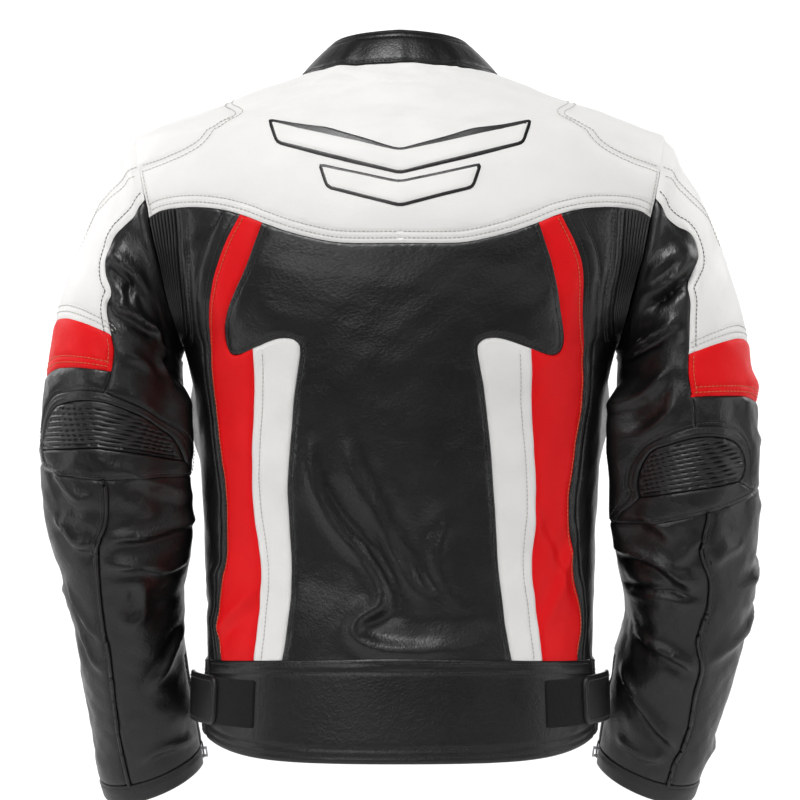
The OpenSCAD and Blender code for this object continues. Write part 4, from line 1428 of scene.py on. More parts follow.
def collar_surface():
    psi = np.linspace(0, 360, 241)
    v = np.linspace(-2, COLLAR_HEIGHT + 1, 24)
    grid = np.zeros((len(psi), len(v), 3))
    for i, p in enumerate(psi):
        half = p if p <= 180 else 360 - p
        x, z = neckline(half)
        front = half < 90
        uv = (front_uv if front else back_uv)([(x, z)])
        foot = TORSO_SKIN.at(uv)[0][0] + [0, 0, 0.4]
        reach = COLLAR_FRONT if front else COLLAR_BACK
        c, s = math.cos(math.radians(half)), math.sin(math.radians(half))
        head = np.array([COLLAR_HALF * s, -reach * c, float(smooth_table(COLLAR_RISE, half))])
        if p > 180:
            foot, head = foot * [-1, 1, 1], head * [-1, 1, 1]
        t = (v / COLLAR_HEIGHT)[:, None]
        grid[i] = foot + (head - foot) * t
        out = (foot + head) / 2 * [1, 1, 0]
        out /= np.linalg.norm(out)
        grid[i] += out * (np.sin(np.clip(t, 0, 1) * math.pi) * 1.6 - 0.6)
    surface = Surface(psi * COLLAR_U, v, grid)
    middle = surface.normal[60, 12]
    if middle @ (surface.grid[60, 12] * [1, 1, 0]) < 0:
        surface.turn = -1
        surface.refresh()
    return surface


def rectangle(u0, u1, v0, v1):
    return [np.array([(u0, v0), (u1, v0)], float), np.array([(u1, v0), (u1, v1)], float),
            np.array([(u1, v1), (u0, v1)], float), np.array([(u0, v1), (u0, v0)], float)]


def make_collar():
    skin = COLLAR_SKIN
    ends = (6 * COLLAR_U, 354 * COLLAR_U)
    for v in (3.4, COLLAR_HEIGHT - 4.0, COLLAR_HEIGHT - 9.5):
        stitch(skin, np.array([(ends[0] + 5, v), (ends[1] - 5, v)]), 0, "black", TORSO, lift=0.45)
    outer = cut("collar_outer", skin, rectangle(*ends, 0.4, COLLAR_HEIGHT), BLACK, TORSO,
                thick=2.4, lift=0.4, spacing=4, sink=1.8, reach=3.5)
    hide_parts("collar")
    inside_edge = rectangle(ends[0] + 1, ends[1] - 1, 1.5, COLLAR_HEIGHT - 2.5)
    inner = cut("collar_inside", skin, inside_edge, LINING, TORSO, thick=1.6, lift=-2.6,
                spacing=6, sink=0)
    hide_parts("collar_lining")


def make_collar_tab():
    """A stitched strap with a domed snap, closing the collar in front."""
    root, lean = np.array([27, -101.5, -44]), math.radians(-23)
    turn = np.array([[1, 0, 0], [0, math.cos(lean), -math.sin(lean)],
                     [0, math.sin(lean), math.cos(lean)]])
    u, v = np.linspace(-62, 8, 57), np.linspace(-15, 15, 25)
    uu, vv = np.meshgrid(u, v, indexing="ij")
    flat = np.stack([uu, 0 * uu - TAB_STANDOFF, vv], axis=-1)
    skin = Surface(u, v, root + flat @ turn.T)
    body = Carrier("collar_tab", "collar_tab_body")
    path = rounded(-51, -3, -7, 7, 3.5)
    stitch(skin, path, 0, "black", body, lift=0.1)
    tab = cut("collar_tab_strap", skin, [rounded(-54, 0, -10, 10, 5)], BLACK_FINE, body,
              thick=1.9, spacing=3, sink=0.6, reach=2)
    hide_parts("collar_tab")
    profile = [(0, 2.9), (2.4, 2.8), (4.4, 2.3), (5.8, 1.4), (6.5, 0.5), (7, 0.2), (7, -0.3)]
    count = 28
    verts = np.array([
        root + turn @ np.array([-45 + r * math.cos(w), -TAB_STANDOFF - h, r * math.sin(w)])
        for r, h in profile for w in np.arange(count) * TAU / count])
    faces = [face[::-1] for face in loft(len(profile), count)]
    cap = new_mesh("collar_snap_cap", verts, faces, SNAP_METAL, body)
    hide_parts("collar_tab")


# ---- Waistband -------------------------------------------------------------------------

BAND_LIFT, BAND_THICK = 2.2, 2.8
BAND_TOP_Z, TAB_LOW, TAB_HIGH = -539, -604, -561
ADJUSTER_Q = 76
TAB_TIP_Q, TAB_ROOT_Q, TAB_LIFT = 64, 93, BAND_LIFT + 4.6


def band_low(q):
    return HEM_Z + 3 + 17 * np.sin(np.radians(np.minimum(90, np.abs(q)))) ** 6


def band_high(q):
    return BAND_TOP_Z - 8 * np.sin(np.radians(q)) ** 2


# Stitch rows along the band's edges, and how far above each edge they run.
BAND_ROWS = [(band_high, -3.4), (band_high, -11.5), (band_low, 6), (band_low, 13)]


def band_line(q0, q1, height, rise=0.0):
    q = np.linspace(q0, q1, 60)
    return np.column_stack([q * Q_SCALE, height(q) + rise])


def band_outline(q0, q1):
    low, high = band_line(q0, q1, band_low), band_line(q1, q0, band_high)
    return [low, joined([low[-1]], [high[0]]), high, joined([high[-1]], [low[0]])]


def rounded(u0, u1, v0, v1, r, count=6):
    """A rectangle with rounded corners as one closed path."""
    out = []
    for cx, cy, a in ((u1 - r, v0 + r, -90), (u1 - r, v1 - r, 0), (u0 + r, v1 - r, 90),
                      (u0 + r, v0 + r, 180)):
        for t in np.linspace(0, 90, count):
            w = math.radians(a + t)
            out.append((cx + r * math.cos(w), cy + r * math.sin(w)))
    out.append(out[0])
    return np.array(out)


def tab_gap(uv, gap=None):
    """How far a waist tab stands off the band, from its free end to its root."""
    q = np.abs(uv[:, 0]) / Q_SCALE
    return 1.2 + 6.5 * ease((q - 68) / 24) + 0.02 * (uv[:, 1] - TAB_LOW)


def make_waist():
    skin = TORSO_SKIN
    q_end = 180 - math.degrees(math.asin(FRONT_EDGE_X / HEM_HALF))
    spans = [(-ADJUSTER_Q + 1.2, ADJUSTER_Q - 1.2), (ADJUSTER_Q + 5.2, q_end - 1.5),
             (1.5 - q_end, -ADJUSTER_Q - 5.2)]
    skin.rows.clear()
    for q0, q1 in spans:
        for height, rise in BAND_ROWS:
            stitch(skin, band_line(q0, q1, height, rise), 0, "black", TORSO, lift=BAND_LIFT + 0.2)
    band = cut("waistband_back_skin", skin, band_outline(-ADJUSTER_Q, ADJUSTER_Q), BLACK, TORSO,
               lift=BAND_LIFT, thick=BAND_THICK, spacing=4.5, sink=1.9, reach=3.8)
    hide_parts("waistband_back")
    for side, turn in (("left", list), ("right", flip)):
        band = cut(f"waistband_front_{side}", skin, turn(band_outline(ADJUSTER_Q + 4, q_end)),
                   BLACK, TORSO, lift=BAND_LIFT, thick=BAND_THICK, spacing=5, sink=1.9,
                   reach=3.8)
        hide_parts("waistband_fronts")
        kept_rows = list(skin.rows)
        skin.rows.clear()
        loop = cut(f"loop_patch_{side}", skin,
                   turn([rounded(46 * Q_SCALE, 71 * Q_SCALE, TAB_LOW, TAB_HIGH, 1.5)]), PILE,
                   TORSO, lift=BAND_LIFT + 1.5, thick=1.4, spacing=3, sink=0.7,
                   reach=1.5)
        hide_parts("waist_loop_patches")

        tab_body = Carrier(f"tab_{side}", "torso", f"waist_tab_{side}_body",
                           (0, -0.003, 0), (0, 0.013, 0))
        tab = cut(f"waist_tab_skin_{side}", skin,
                  turn([rounded(TAB_TIP_Q * Q_SCALE, TAB_ROOT_Q * Q_SCALE, TAB_LOW - 1,
                                TAB_HIGH + 1, 11)]),
                  BLACK_FINE, tab_body, lift=TAB_LIFT, thick=2.2, spacing=3.2,
                  sink=1.1, reach=2.5, shape=tab_gap)
        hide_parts(f"waist_tab_{side}")
        path = turn([rounded(TAB_TIP_Q * Q_SCALE + 4.5, TAB_ROOT_Q * Q_SCALE - 4,
                             TAB_LOW + 3.5, TAB_HIGH - 3.5, 8)])[0]
        stitch(skin, path, 0, "black", tab_body, per_point=TAB_LIFT + tab_gap(path))
        skin.rows.extend(kept_rows)


# ---- Inside the torso ------------------------------------------------------------------


def make_inside():
    skin = TORSO_SKIN
    skin.rows.clear()

    def grid(q0, q1, z0, z1, rows, columns):
        qq, zz = np.meshgrid(np.linspace(q0, q1, columns), np.linspace(z0, z1, rows))
        return np.stack([qq * Q_SCALE, z_to_v(zz)], axis=-1)

    body = grid_panel("lining_torso", skin, grid(-172, 172, -618, -258, 80, 200), level, LINING,
                     TORSO, thick=0.8, lift=-6.6)
    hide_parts("torso_lining")
    for name, front in (("back", False), ("front_left", True), ("front_right", True)):
        if front:
            neck = front_uv([neckline(a) for a in np.linspace(16, 90, 30)])
            arm = armhole(SHOULDER_Z, ARMPIT_Z, True, 40)
            ridge = [(90 * Q_SCALE, float(z_to_v(z))) for z in np.linspace(-3, -60, 12)]
            foot = q_line(90, 170, -257)
            side = joined([foot[-1]], [neck[0]])
            paths = [neck, np.array(ridge), arm, joined([arm[-1]], [foot[0]]), foot, side]
            paths = [resample(p, 3) for p in paths]
            if name == "front_right":
                paths = flip(paths)
        else:
            neck = back_uv([neckline(a) for a in np.linspace(90, 180, 40)])
            ridge = np.array([(90 * Q_SCALE, float(z_to_v(z))) for z in np.linspace(-3, -60, 12)])
            arm = armhole(SHOULDER_Z, ARMPIT_Z, False, 40)
            foot = q_line(90, 0, -257)
            half = [neck[::-1], ridge, arm, joined([arm[-1]], [foot[0]]), foot]
            other = flip(half)
            paths = half + [p[::-1] for p in other[::-1]]
        cut(f"lining_{name}", skin, paths, LINING, TORSO, lift=-6.6, thick=0.8,
            spacing=6, sink=0)

    edge = [(-430, 60), (-320, 92), (-200, 104), (-150, 84)]
    z = np.linspace(-430, -150, 50)
    ss = np.linspace(-1, 1, 40)
    rows = [back_uv(np.column_stack([ss * float(smooth_table(edge, h)), np.full(40, h)]))
            for h in z]

    def crown(s, t):
        rim = ease(rim_distance(s, t) / 0.12)
        cells = np.abs(np.sin(s * math.pi * 5)) * np.abs(np.sin(t * math.pi * 9))
        return 0.6 * rim * cells - 0.9

    pad = grid_panel("back_protector_pad", skin, np.array(rows), crown, FOAM, TORSO,
                     thick=8.5, lift=-8.4)
    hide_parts("back_protector")

    # Hanger loop: a flat strap stitched at both ends inside the neck.
    t = np.linspace(-1, 1, 41)
    centre = np.column_stack([t * 31, 68.4 - 1.2 * (1 - t**2), -5.0 - 2.7 * (1 - t**2) ** 0.8])
    half, thick = 3.2, 0.8
    tilt = math.radians(14)
    up = np.array([0, -math.sin(tilt), math.cos(tilt)])
    out = np.array([0, math.cos(tilt), math.sin(tilt)])
    verts = np.array([p + up * half * a + out * thick * b for p in centre
                      for a, b in ((-1, -1), (1, -1), (1, 1), (-1, 1))])
    faces = [face[::-1] for face in loft(len(centre), 4)]
    faces += [(0, 1, 2, 3), tuple((len(centre) - 1) * 4 + k for k in (3, 2, 1, 0))]
    strap = new_mesh("hanger_strap", verts, faces, BLACK_FINE, TORSO,
                     attributes=plain_skin(verts))
    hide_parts("hanger_loop")


# ---- Emblem ----------------------------------------------------------------------------

EMBLEM_HALF, EMBLEM_TIP = (112, 66), (-104, -134)
EMBLEM_HEIGHT, EMBLEM_SWEEP, EMBLEM_FLARE, EMBLEM_BORDER = 24, 0.26, 8, 2.7


def make_emblem():
    """Two plain swept chevrons of white leather, outlined in black."""
    for k, name in enumerate(("upper", "lower")):
        half, tip = EMBLEM_HALF[k], EMBLEM_TIP[k]
        low = [(-half, tip + EMBLEM_SWEEP * half), (0, tip), (half, tip + EMBLEM_SWEEP * half)]
        high = [(x + EMBLEM_FLARE * np.sign(x), z + EMBLEM_HEIGHT) for x, z in low[::-1]]
        ring = soften(low + high, 5)
        cut(f"emblem_outline_{name}", TORSO_SKIN, [back_uv(ring)], BLACK_FINE, TORSO,
            lift=1.0, thick=1.1, spacing=4, sink=0.5, reach=1.2)
        face = back_uv(shrink(ring, EMBLEM_BORDER))
        white = cut(f"emblem_face_{name}", TORSO_SKIN, [face], WHITE, TORSO,
                    lift=1.7, thick=1.0, spacing=4, sink=0.7, reach=2.0)
        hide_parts("back_emblem")


def soften(corners, radius):
    """A closed outline through corners, each rounded off."""
    p = np.array(corners, float)
    out = []
    n = len(p)
    for i in range(n):
        a, b, c = p[i - 1], p[i], p[(i + 1) % n]
        ab, cb = a - b, c - b
        r = min(radius, np.linalg.norm(ab) / 2.2, np.linalg.norm(cb) / 2.2)
        s = b + ab / np.linalg.norm(ab) * r
        e = b + cb / np.linalg.norm(cb) * r
        for t in np.linspace(0, 1, 7):
            out.append((1 - t) ** 2 * s + 2 * t * (1 - t) * b + t * t * e)
    out.append(out[0])
    return np.vstack(out)


def shrink(ring, distance):
    """A closed outline moved inwards."""
    p = resample(ring, 2.0)[:-1]
    d = np.roll(p, -1, axis=0) - np.roll(p, 1, axis=0)
    d /= np.linalg.norm(d, axis=1, keepdims=True)
    area = np.sum(p[:, 0] * np.roll(p[:, 1], -1) - np.roll(p[:, 0], -1) * p[:, 1])
    turn = 1 if area > 0 else -1
    q = p + turn * np.column_stack([-d[:, 1], d[:, 0]]) * distance
    keep = path_distance(q, np.vstack([p, p[:1]]))[0] > distance * 0.9
    q = q[keep]
    return np.vstack([q, q[:1]])


# ---- Stitching on the outer leather ------------------------------------------------------


def make_stitching():
    s = SEAMS
    skin = TORSO_SKIN
    for turn, m in ((list, 1), (flip, -1)):
        def row(path, offset, colour, **more):
            stitch(skin, turn([path])[0], offset * m, colour, TORSO, lift=0.35, **more)
        row(s["yoke"], 4.6, "white")
        row(s["yoke"], 10.4, "white")
        row(s["shoulder"], 3.0, "white")
        row(s["shoulder"], -3.0, "white")
        row(s["armhole_high"], 3.6, "white")
        row(s["panel"][:-1], -3.2, "black")
        row(s["white"], -10.5, "white")
        row(s["red"], -3.4, "orange")
        row(s["red"], 3.4, "black")
        row(s["red"], 12.5, "black")
        row(s["gusset"], -3.2, "dark")
        row(s["gusset"], -8.5, "dark")
        row(s["gusset"], -11.0, "dark")
        row(s["front_yoke"], -4.6, "white")
        row(s["front"], 3.4, "black")
        row(s["front_red"], -3.4, "orange")
    for side in ("left", "right"):
        skin = SLEEVE_SKIN[side]
        c = carriers(side)
        f = SLEEVE[side]

        def row(path, offset, colour, carrier, lift=0.35):
            stitch(skin, path, offset, colour, carrier, lift=lift)

        row(f["s_edge"], -6.8, "dark", c["shoulder"])
        row(f["cap"], 3.0, "white", c["shoulder"])
        row(f["cap"], -3.0, "white", c["shoulder"])
        row(f["band_top"], -4.6, "white", c["shoulder"])
        row(f["band_top"], -8.6, "white", c["shoulder"])
        row(f["band_foot"], -4.0, "orange", c["shoulder"], 0.6)
        row(f["band_foot"], -8.5, "orange", c["shoulder"], 0.6)
        row(f["band_end"], -5.0, "orange", c["shoulder"], 0.6)
        row(f["surround"], -3.0, "black", c["elbow"])
        row(f["surround"], 3.0, "black", c["elbow"], 1.2)
        row(f["elbow_seam"], 3.2, "black", c["elbow"], 0.9)
        row(f["low_part"], -5.5, "black", c["forearm"])
        row(f["high_part"], -5.5, "black", c["elbow"])
        row(k_line(CUFF_K + 0.1, 196, 164 + 360), 0, "black", c["forearm"], 1.2)


# ---- Folds in the hide -------------------------------------------------------------------
# Each fold is (path, height, width); its hollow lies to the left of the path.

TORSO_FOLDS = [
    ([(-91, -525), (-64, -528), (-14.5, -531.5), (21.7, -528), (41, -517), (37.6, -504),
      (19, -492), (18.1, -473.4), (35.3, -446), (57.9, -419), (76, -383), (80.5, -346.7),
      (73.8, -306)], 7.5, 8.5),
    ([(-57.5, -497), (-37, -487), (-14.5, -475.7), (-0.9, -455), (21.7, -410),
      (39.8, -373.9), (53.4, -322)], 5.5, 9),
    ([(-44, -392), (-40, -418), (-33, -448), (-40, -473), (-60, -495)], 4.5, 8),
    ([(172, -526), (160, -508), (142, -490), (124, -470)], 3.0, 7),
    ([(-120, -380), (-137, -424), (-154, -460), (-168, -502)], -3.6, 9),
    ([(-165, -420), (-150, -470), (-128, -520)], 3.0, 9),
    ([(60, 2), (30, -8), (0, -13), (-35, -9)], 1.1, 6),
    ([(118, -24), (84, -14), (58, -16)], 1.2, 6),
    ([(-112, -20), (-82, -12), (-60, -18)], 1.0, 6),
    ([(205, -170), (190, -160), (176, -142)], 1.2, 6),
]
TORSO_SWELLS = [  # (x, z), reach across and down, height
    ((-37, -366), (34, 60), 4.2), ((26, -300), (50, 46), 1.6), ((15, -425), (16, 46), -4.0),
    ((-78, -300), (24, 60), -2.2), ((60, -470), (26, 40), -2.0), ((-12, -505), (60, 9), -3.4),
    ((0, -225), (90, 40), 1.2), ((120, -225), (14, 20), 1.2), ((-120, -225), (14, 20), 1.8),
]
SLEEVE_FOLDS = {
    "left": [
        ([(270, -193), (264, -177), (250, -183), (236, -197), (226.6, -212)][::-1], 8.5, 6.5),
        ([(262, -202), (251.2, -213.8), (255.8, -220.7), (244.9, -226), (233, -234.1),
          (222.5, -243), (219.3, -256)][::-1], 8.5, 6),
        ([(246, -190), (246, -202), (249, -214)], -4.5, 5),
        ([(224, -240), (217.3, -260), (220.5, -272), (212.7, -285.3), (214, -300)], 6, 6),
        ([(262, -262), (240, -268), (222, -282)][::-1], 3.0, 9),
        ([(312, -160), (302, -188), (288, -211.7), (276, -233)], 2.6, 6),
        ([(258, -136), (262, -150), (272, -166)], 1.8, 5),
        ([(276, -440.9), (258, -432.7), (232, -429.2), (209.5, -418.3), (196.5, -411)][::-1],
         8.0, 6.5),
        ([(276, -448), (264.9, -459), (239.3, -456.9), (219.1, -461.6), (205.7, -453.8),
          (194, -447)][::-1], 6.5, 6.0),
        ([(323, -366), (312.6, -376), (294.4, -396), (278, -390)][::-1], 5.5, 7.5),
        ([(322, -412), (310.9, -424), (299.2, -438), (287.9, -439), (274, -435)][::-1], 6.0, 6.5),
        ([(320, -470), (310, -489), (297.5, -511.2), (285.9, -524.6), (272, -531)][::-1], 5.5, 7),
        ([(311, -520), (297.5, -538), (290.5, -550.4), (274, -560)][::-1], 4.0, 6.5),
        ([(262, -489), (253, -512), (238, -505), (239.3, -478.5), (256, -466)], 3.2, 7.5),
        ([(242.6, -582), (221.8, -560.1), (209.7, -532.4), (204.4, -512)], 5.0, 8),
        ([(256, -655), (230, -638), (203, -633), (192, -628)][::-1], 4.5, 7),
        ([(266, -360), (236.8, -376.1), (211.3, -389), (195.8, -403)][::-1], 4.5, 8),
        ([(250, -600), (262, -622), (256, -646)], 2.2, 6),
    ],
    "right": [
        ([(221, -224.1), (237.9, -215.5), (259.6, -196.4), (275.3, -178)][::-1], -7.0, 6),
        ([(218, -212), (240, -200), (258, -184), (274, -170)], 6.5, 6.5),
        ([(208, -267), (226.6, -251.1), (243.7, -239.2), (264, -231)], 8.0, 6.5),
        ([(220.8, -197.6), (234.8, -185.1), (247.8, -175.9), (270, -169)], 6.0, 6),
        ([(203, -314), (223.7, -300.5), (237.9, -286.3), (248, -270)], 6.0, 8),
        ([(247, -290), (246.6, -313.6), (229.4, -331.9), (206, -342)], 4.5, 8),
        ([(200, -440), (214, -446), (238.2, -456.3), (256, -468.9), (282, -482)], 8.0, 6.5),
        ([(204, -478), (235, -482), (262, -486), (283, -489)], -5.5, 5),
        ([(250, -460), (265, -443.4), (279, -429)], 3.5, 6),
        ([(212, -519), (242.7, -539.1), (257.8, -546), (281, -560)], 7.0, 6.5),
        ([(208, -552), (227.7, -592.7), (246.2, -617.3), (268, -640)], 8.0, 7),
        ([(203, -625), (235, -645), (258, -642)], 5.0, 6.5),
        ([(281, -553), (306.6, -534.3), (328, -512)], 4.5, 9),
        ([(206, -405), (233.8, -419.4), (256, -438)], 4.0, 9),
        ([(284, -459), (301.2, -445), (318, -437)], 3.2, 8),
        ([(308, -160), (300, -190), (287, -216), (276, -240)], 2.4, 6),
        ([(256, -138), (262, -150), (276, -164)], 1.8, 5),
    ],
}
# How far each sleeve's outer and inner sides stand out from the plain tube, by ring.
SLEEVE_FORM = {
    "left": (
        [(8, 0), (9.1, -4), (9.7, -9), (10.2, -13), (10.8, -16), (11.4, -13), (12, -11),
         (12.7, -9), (13.3, -7), (14.1, -3), (15, -2)],
        [(8, 0), (9.1, 6), (9.7, 5), (10.2, 0), (10.8, 2), (11.2, 0), (15, 0)],
    ),
    "right": (
        [(8, 0), (9.1, 3), (9.7, 5), (10.2, 8), (10.8, 6), (11.4, 5), (12, 3), (12.7, 1),
         (13.3, 1), (14.1, -3), (15, -3)],
        [(8, 0), (9.1, 0), (9.7, -2), (10.2, -6), (10.8, -10), (11.2, -5), (11.6, 0), (15, 0)],
    ),
}
FRONT_FOLD_SEED = {"left": 11, "right": 23}
DRIFT = 9.5  # domain millimetres


def swell(uv, centre, reach, height):
    d = (uv - centre) / reach
    return height * np.exp(-np.sum(d * d, axis=1))


def fold_torso():
    skin = TORSO_SKIN
    uv = skin.domain()
    total = ripple(uv, 5, 95, 0.8) + ripple(uv, 6, 34, 0.28)
    for path, height, width in TORSO_FOLDS:
        total += fold(uv, back_uv(path), height, width)
    for (x, z), (across, down), height in TORSO_SWELLS:
        centre = back_uv([(x, z)])[0]
        total += swell(uv, centre, np.array([across * 1.05, down]), height)
    rng = np.random.default_rng(41)
    for turn in (-1, 1):
        for _ in range(7):  # soft rolls above the waistband, round the sides and the front
            q = rng.uniform(72, 172)
            z = rng.uniform(-525, -440)
            wide, drop = rng.uniform(9, 20), rng.uniform(-16, 16)
            path = [((q - wide) * Q_SCALE * turn, z - drop / 2), (q * Q_SCALE * turn, z + 4),
                    ((q + wide) * Q_SCALE * turn, z + drop / 2)]
            total += fold(uv, path, rng.uniform(1.5, 3.5), rng.uniform(6, 10))
        for _ in range(4):  # pulls from the armhole towards the chest
            q, z = rng.uniform(112, 130), rng.uniform(-240, -150)
            path = [(q * Q_SCALE * turn, z), ((q + 14) * Q_SCALE * turn, z - 18),
                    ((q + 30) * Q_SCALE * turn, z - 22)]
            total += fold(uv, path, rng.uniform(1.5, 3), rng.uniform(6, 9))
    total *= ease((uv[:, 1] - (BAND_TOP_Z - 14)) / 16) * 0.94 + 0.06
    arm = np.abs(np.abs(uv[:, 0]) / Q_SCALE - 90)
    under = np.exp(-((arm / 16) ** 2)) * ease((-150 - uv[:, 1]) / 60)
    total = np.where(total > 0, total * (1 - 0.75 * under), total)
    low_gusset = np.exp(-((arm / 22) ** 2)) * ease((uv[:, 1] + 262) / 8)
    total *= 1 - 0.8 * low_gusset * (uv[:, 1] < -120)
    reach = np.exp(-((((np.abs(uv[:, 0]) / Q_SCALE) - 98) / 7) ** 2))
    slack = 4.5 + 5 * ease((uv[:, 1] + 375) / 35)
    total += slack * reach * ease((-268 - uv[:, 1]) / 45) * ease((uv[:, 1] + 515) / 30)
    skin.displace(total.reshape(len(skin.u), len(skin.v)))
    skin.drift = back_drift


def back_drift(uv):
    """The back hangs a little towards the wearer's left, below the yoke."""
    reach = np.exp(-((np.abs(uv[:, 0]) / (62 * Q_SCALE)) ** 4))
    depth = ease((-176 - uv[:, 1]) / 80) * (1 - 0.6 * ease((-380 - uv[:, 1]) / 120))
    return DRIFT * reach * depth * ease((uv[:, 1] - BAND_TOP_Z + 20) / 12)


def fold_sleeve(side):
    skin = SLEEVE_SKIN[side]
    uv = skin.domain()
    full = uv.copy()
    full[:, 0] = np.mod(full[:, 0] + 108, WRAP) - 108  # psi from -90 to 270
    seed = FRONT_FOLD_SEED[side]
    total = ripple(full, seed, 70, 0.9) + ripple(full, seed + 1, 26, 0.35)
    for path, height, width in SLEEVE_FOLDS[side]:
        total += fold(full, sleeve_at(path), height, width)
    rng = np.random.default_rng(seed)
    for _ in range(16):  # folds on the side that faces forwards
        psi, k = rng.uniform(-72, 5), rng.uniform(6, 13.6)
        wide, drop = rng.uniform(22, 44), rng.uniform(-0.5, 0.5)
        path = sleeve_uv([(k - drop, psi - wide), (k + 0.1, psi), (k + drop, psi + wide)])
        total += fold(full, path, rng.uniform(2, 4.5), rng.uniform(6, 9))
    for _ in range(12):
        psi, k = rng.uniform(196, 262), rng.uniform(1.5, 13.4)
        wide, drop = rng.uniform(14, 30), rng.uniform(-0.5, 0.5)
        path = sleeve_uv([(k - drop, psi - wide), (k + 0.1, psi), (k + drop, psi + wide)])
        total += fold(full, path, rng.uniform(2.5, 5.5), rng.uniform(6, 8.5))
    # Calm near the armhole, the cuff, the ribbed elbow and where the arm meets the body.
    f = SLEEVE[side]
    elbow = joined(f["dome"], f["dome_foot"])
    near = path_distance(full, elbow)[0]
    near = np.where(inside(full, elbow), 0, near)
    total *= 0.12 + 0.88 * ease((near - 3) / 14)
    total *= ease(-full[:, 1] / 22) * ease((full[:, 1] - float(k_to_v(14.2))) / 26 + 0.12)
    psi = full[:, 0] / PSI_SCALE
    close = np.exp(-(((psi - 184) / 32) ** 2)) * (full[:, 1] > float(k_to_v(10.5)))
    total = np.where(total > 0, total * (1 - 0.75 * close), total)
    zip_side = np.exp(-(((psi - 180) / 16) ** 2)) * (full[:, 1] < float(k_to_v(11.2)))
    total *= 1 - 0.92 * zip_side
    k = v_to_k(full[:, 1])
    c = np.cos(np.radians(psi))
    for points, turn in zip(SLEEVE_FORM[side], (1, -1)):
        total += np.interp(k, *np.array(points).T) * np.maximum(0, c * turn) ** 1.4
    # The slack that rests against the body, under the arm.
    slack = 11 + 5 * ease((8.3 - k) / 1.4)
    span = ease((k - 4.4) / 1.5) * ease((9.9 - k) / 1.5)
    total += slack * np.exp(-(((psi - 157) / 14) ** 2)) * span
    head = 3.2 * np.exp(-(((full[:, 1] + 9) / 6) ** 2)) * ease(-full[:, 1] / 5)
    total += head * np.exp(-(((psi - 20) / 75) ** 4))
    skin.displace(total.reshape(len(skin.u), len(skin.v)))


# ---- Camera, light and floor -----------------------------------------------------------


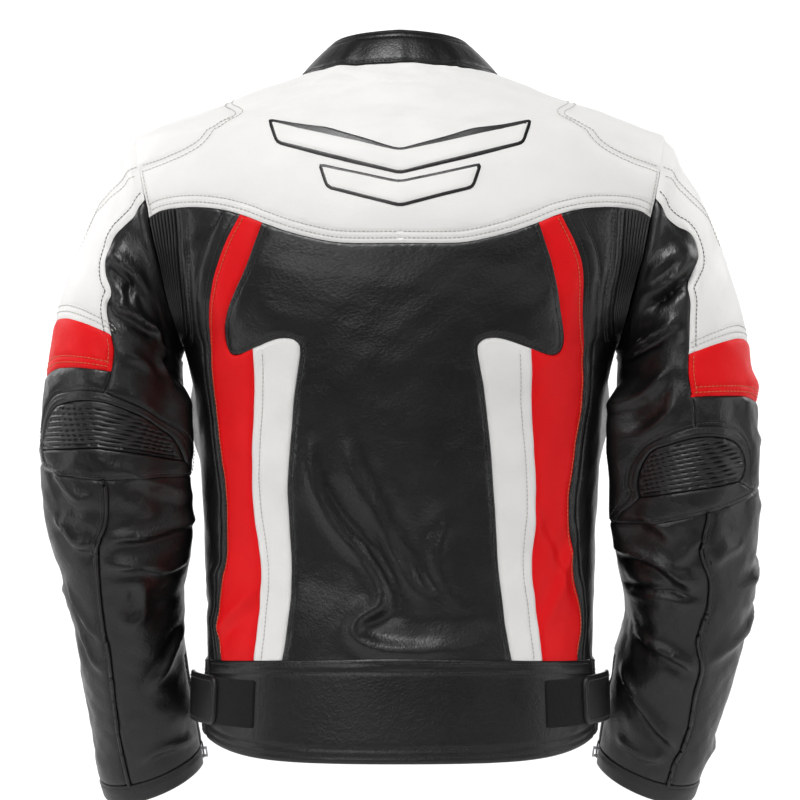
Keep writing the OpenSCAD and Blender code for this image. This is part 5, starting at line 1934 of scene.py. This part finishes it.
def make_studio():
    scene = bpy.context.scene
    lens = bpy.data.cameras.new("camera")
    lens.lens, lens.sensor_width = 120, 36
    camera = bpy.data.objects.new("camera", lens)
    camera.location = (0, 2.51, -0.306)
    camera.rotation_euler = (math.radians(90), 0, math.radians(180))
    scene.collection.objects.link(camera)
    scene.camera = camera
    scene.view_settings.view_transform = "Standard"

    # Floor that curves up into a backdrop.
    floor_z, reach, turn = -0.80, 0.65, 0.9
    profile = [(reach, floor_z), (-1.6, floor_z)]
    for a in np.linspace(6, 90, 15):
        w = math.radians(a)
        profile.append((-1.6 - turn * math.sin(w), floor_z + turn * (1 - math.cos(w))))
    profile.append((-1.6 - turn, 3.2))
    verts, faces = [], []
    for y, z in profile:
        verts += [(-4, y, z), (4, y, z)]
    for i in range(len(profile) - 1):
        faces.append((2 * i, 2 * i + 1, 2 * i + 3, 2 * i + 2))
    mesh = bpy.data.meshes.new("floor")
    mesh.from_pydata(verts, [], faces)
    mesh.polygons.foreach_set("use_smooth", [True] * len(mesh.polygons))
    floor = bpy.data.objects.new("floor", mesh)
    scene.collection.objects.link(floor)
    s = Shader("backdrop")
    speck = s.noise(s.place(), 3.0, 2)
    s.set(Base_Color=s.blend_colour(speck, rgba(0.93, 0.93, 0.93), rgba(0.95, 0.95, 0.95)),
          Roughness=0.9)
    mesh.materials.append(s.material)

    world = bpy.data.worlds.new("studio")
    scene.world = world
    world.use_nodes = True
    world.node_tree.nodes["Background"].inputs["Color"].default_value = (1, 1, 1, 1)
    world.node_tree.nodes["Background"].inputs["Strength"].default_value = 0.06

    def light(name, place, aim, size, power, tall=None):
        data = bpy.data.lights.new(name, "AREA")
        data.energy, data.size = power, size
        if tall:
            data.shape, data.size_y = "RECTANGLE", tall
        lamp = bpy.data.objects.new(name, data)
        lamp.location = place
        direction = np.array(aim, float) - np.array(place, float)
        lamp.rotation_euler = Vector(direction).to_track_quat("-Z", "Y").to_euler()
        scene.collection.objects.link(lamp)

    middle = (0, 0, -0.33)
    light("key", (0.35, 1.5, 1.8), middle, 0.8, 44)
    light("fill", (0.75, 2.7, 0.36), middle, 1.3, 15, 0.8)
    light("fill_right", (-1.35, 2.3, 0.2), middle, 0.5, 4, 1.0)
    light("side_left", (1.5, 0.5, -0.1), middle, 0.22, 5.4, 1.5)
    light("side_right", (-1.5, 0.5, -0.1), middle, 0.22, 5.4, 1.5)
    light("low", (0.1, 1.7, -1.5), middle, 1.6, 1.5, 0.4)
    light("backdrop_left", (1.9, -0.9, 0.7), (0, -2.5, 0), 1.2, 36)
    light("backdrop_right", (-1.9, -0.9, 0.7), (0, -2.5, 0), 1.2, 36)


# ---- Build -------------------------------------------------------------------------------

SLEEVE_SKIN = {"left": sleeve_surface(1), "right": sleeve_surface(-1)}
SLEEVE = {side: seam_paths(side) for side in ("left", "right")}
fold_torso()
for arm in ("left", "right"):
    fold_sleeve(arm)
COLLAR_SKIN = collar_surface()

make_stitching()
make_torso()
for arm in ("left", "right"):
    make_sleeve(arm)
make_collar()
make_collar_tab()
make_waist()
make_inside()
make_emblem()
THREADS.make(THREAD)

for node, material in {
    "main_zip_tapes": ZIP_TAPE, "main_zip_teeth": ZIP_METAL, "pocket_zips": ZIP_TAPE,
    "trouser_zip": ZIP_TAPE, "collar_snap_stud": SNAP_METAL, "main_zip_slider": ZIP_METAL,
    "main_zip_pull": ZIP_METAL, "pocket_zip_slider_left": ZIP_METAL,
    "pocket_zip_slider_right": ZIP_METAL, "pocket_zip_pull_left": ZIP_METAL,
    "pocket_zip_pull_right": ZIP_METAL, "cuff_zip_left": ZIP_TAPE, "cuff_zip_right": ZIP_TAPE,
    "cuff_zip_slider_left": ZIP_METAL, "cuff_zip_slider_right": ZIP_METAL,
}.items():
    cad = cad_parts[node]
    cad.data.materials.clear()
    cad.data.materials.append(material)

make_studio()
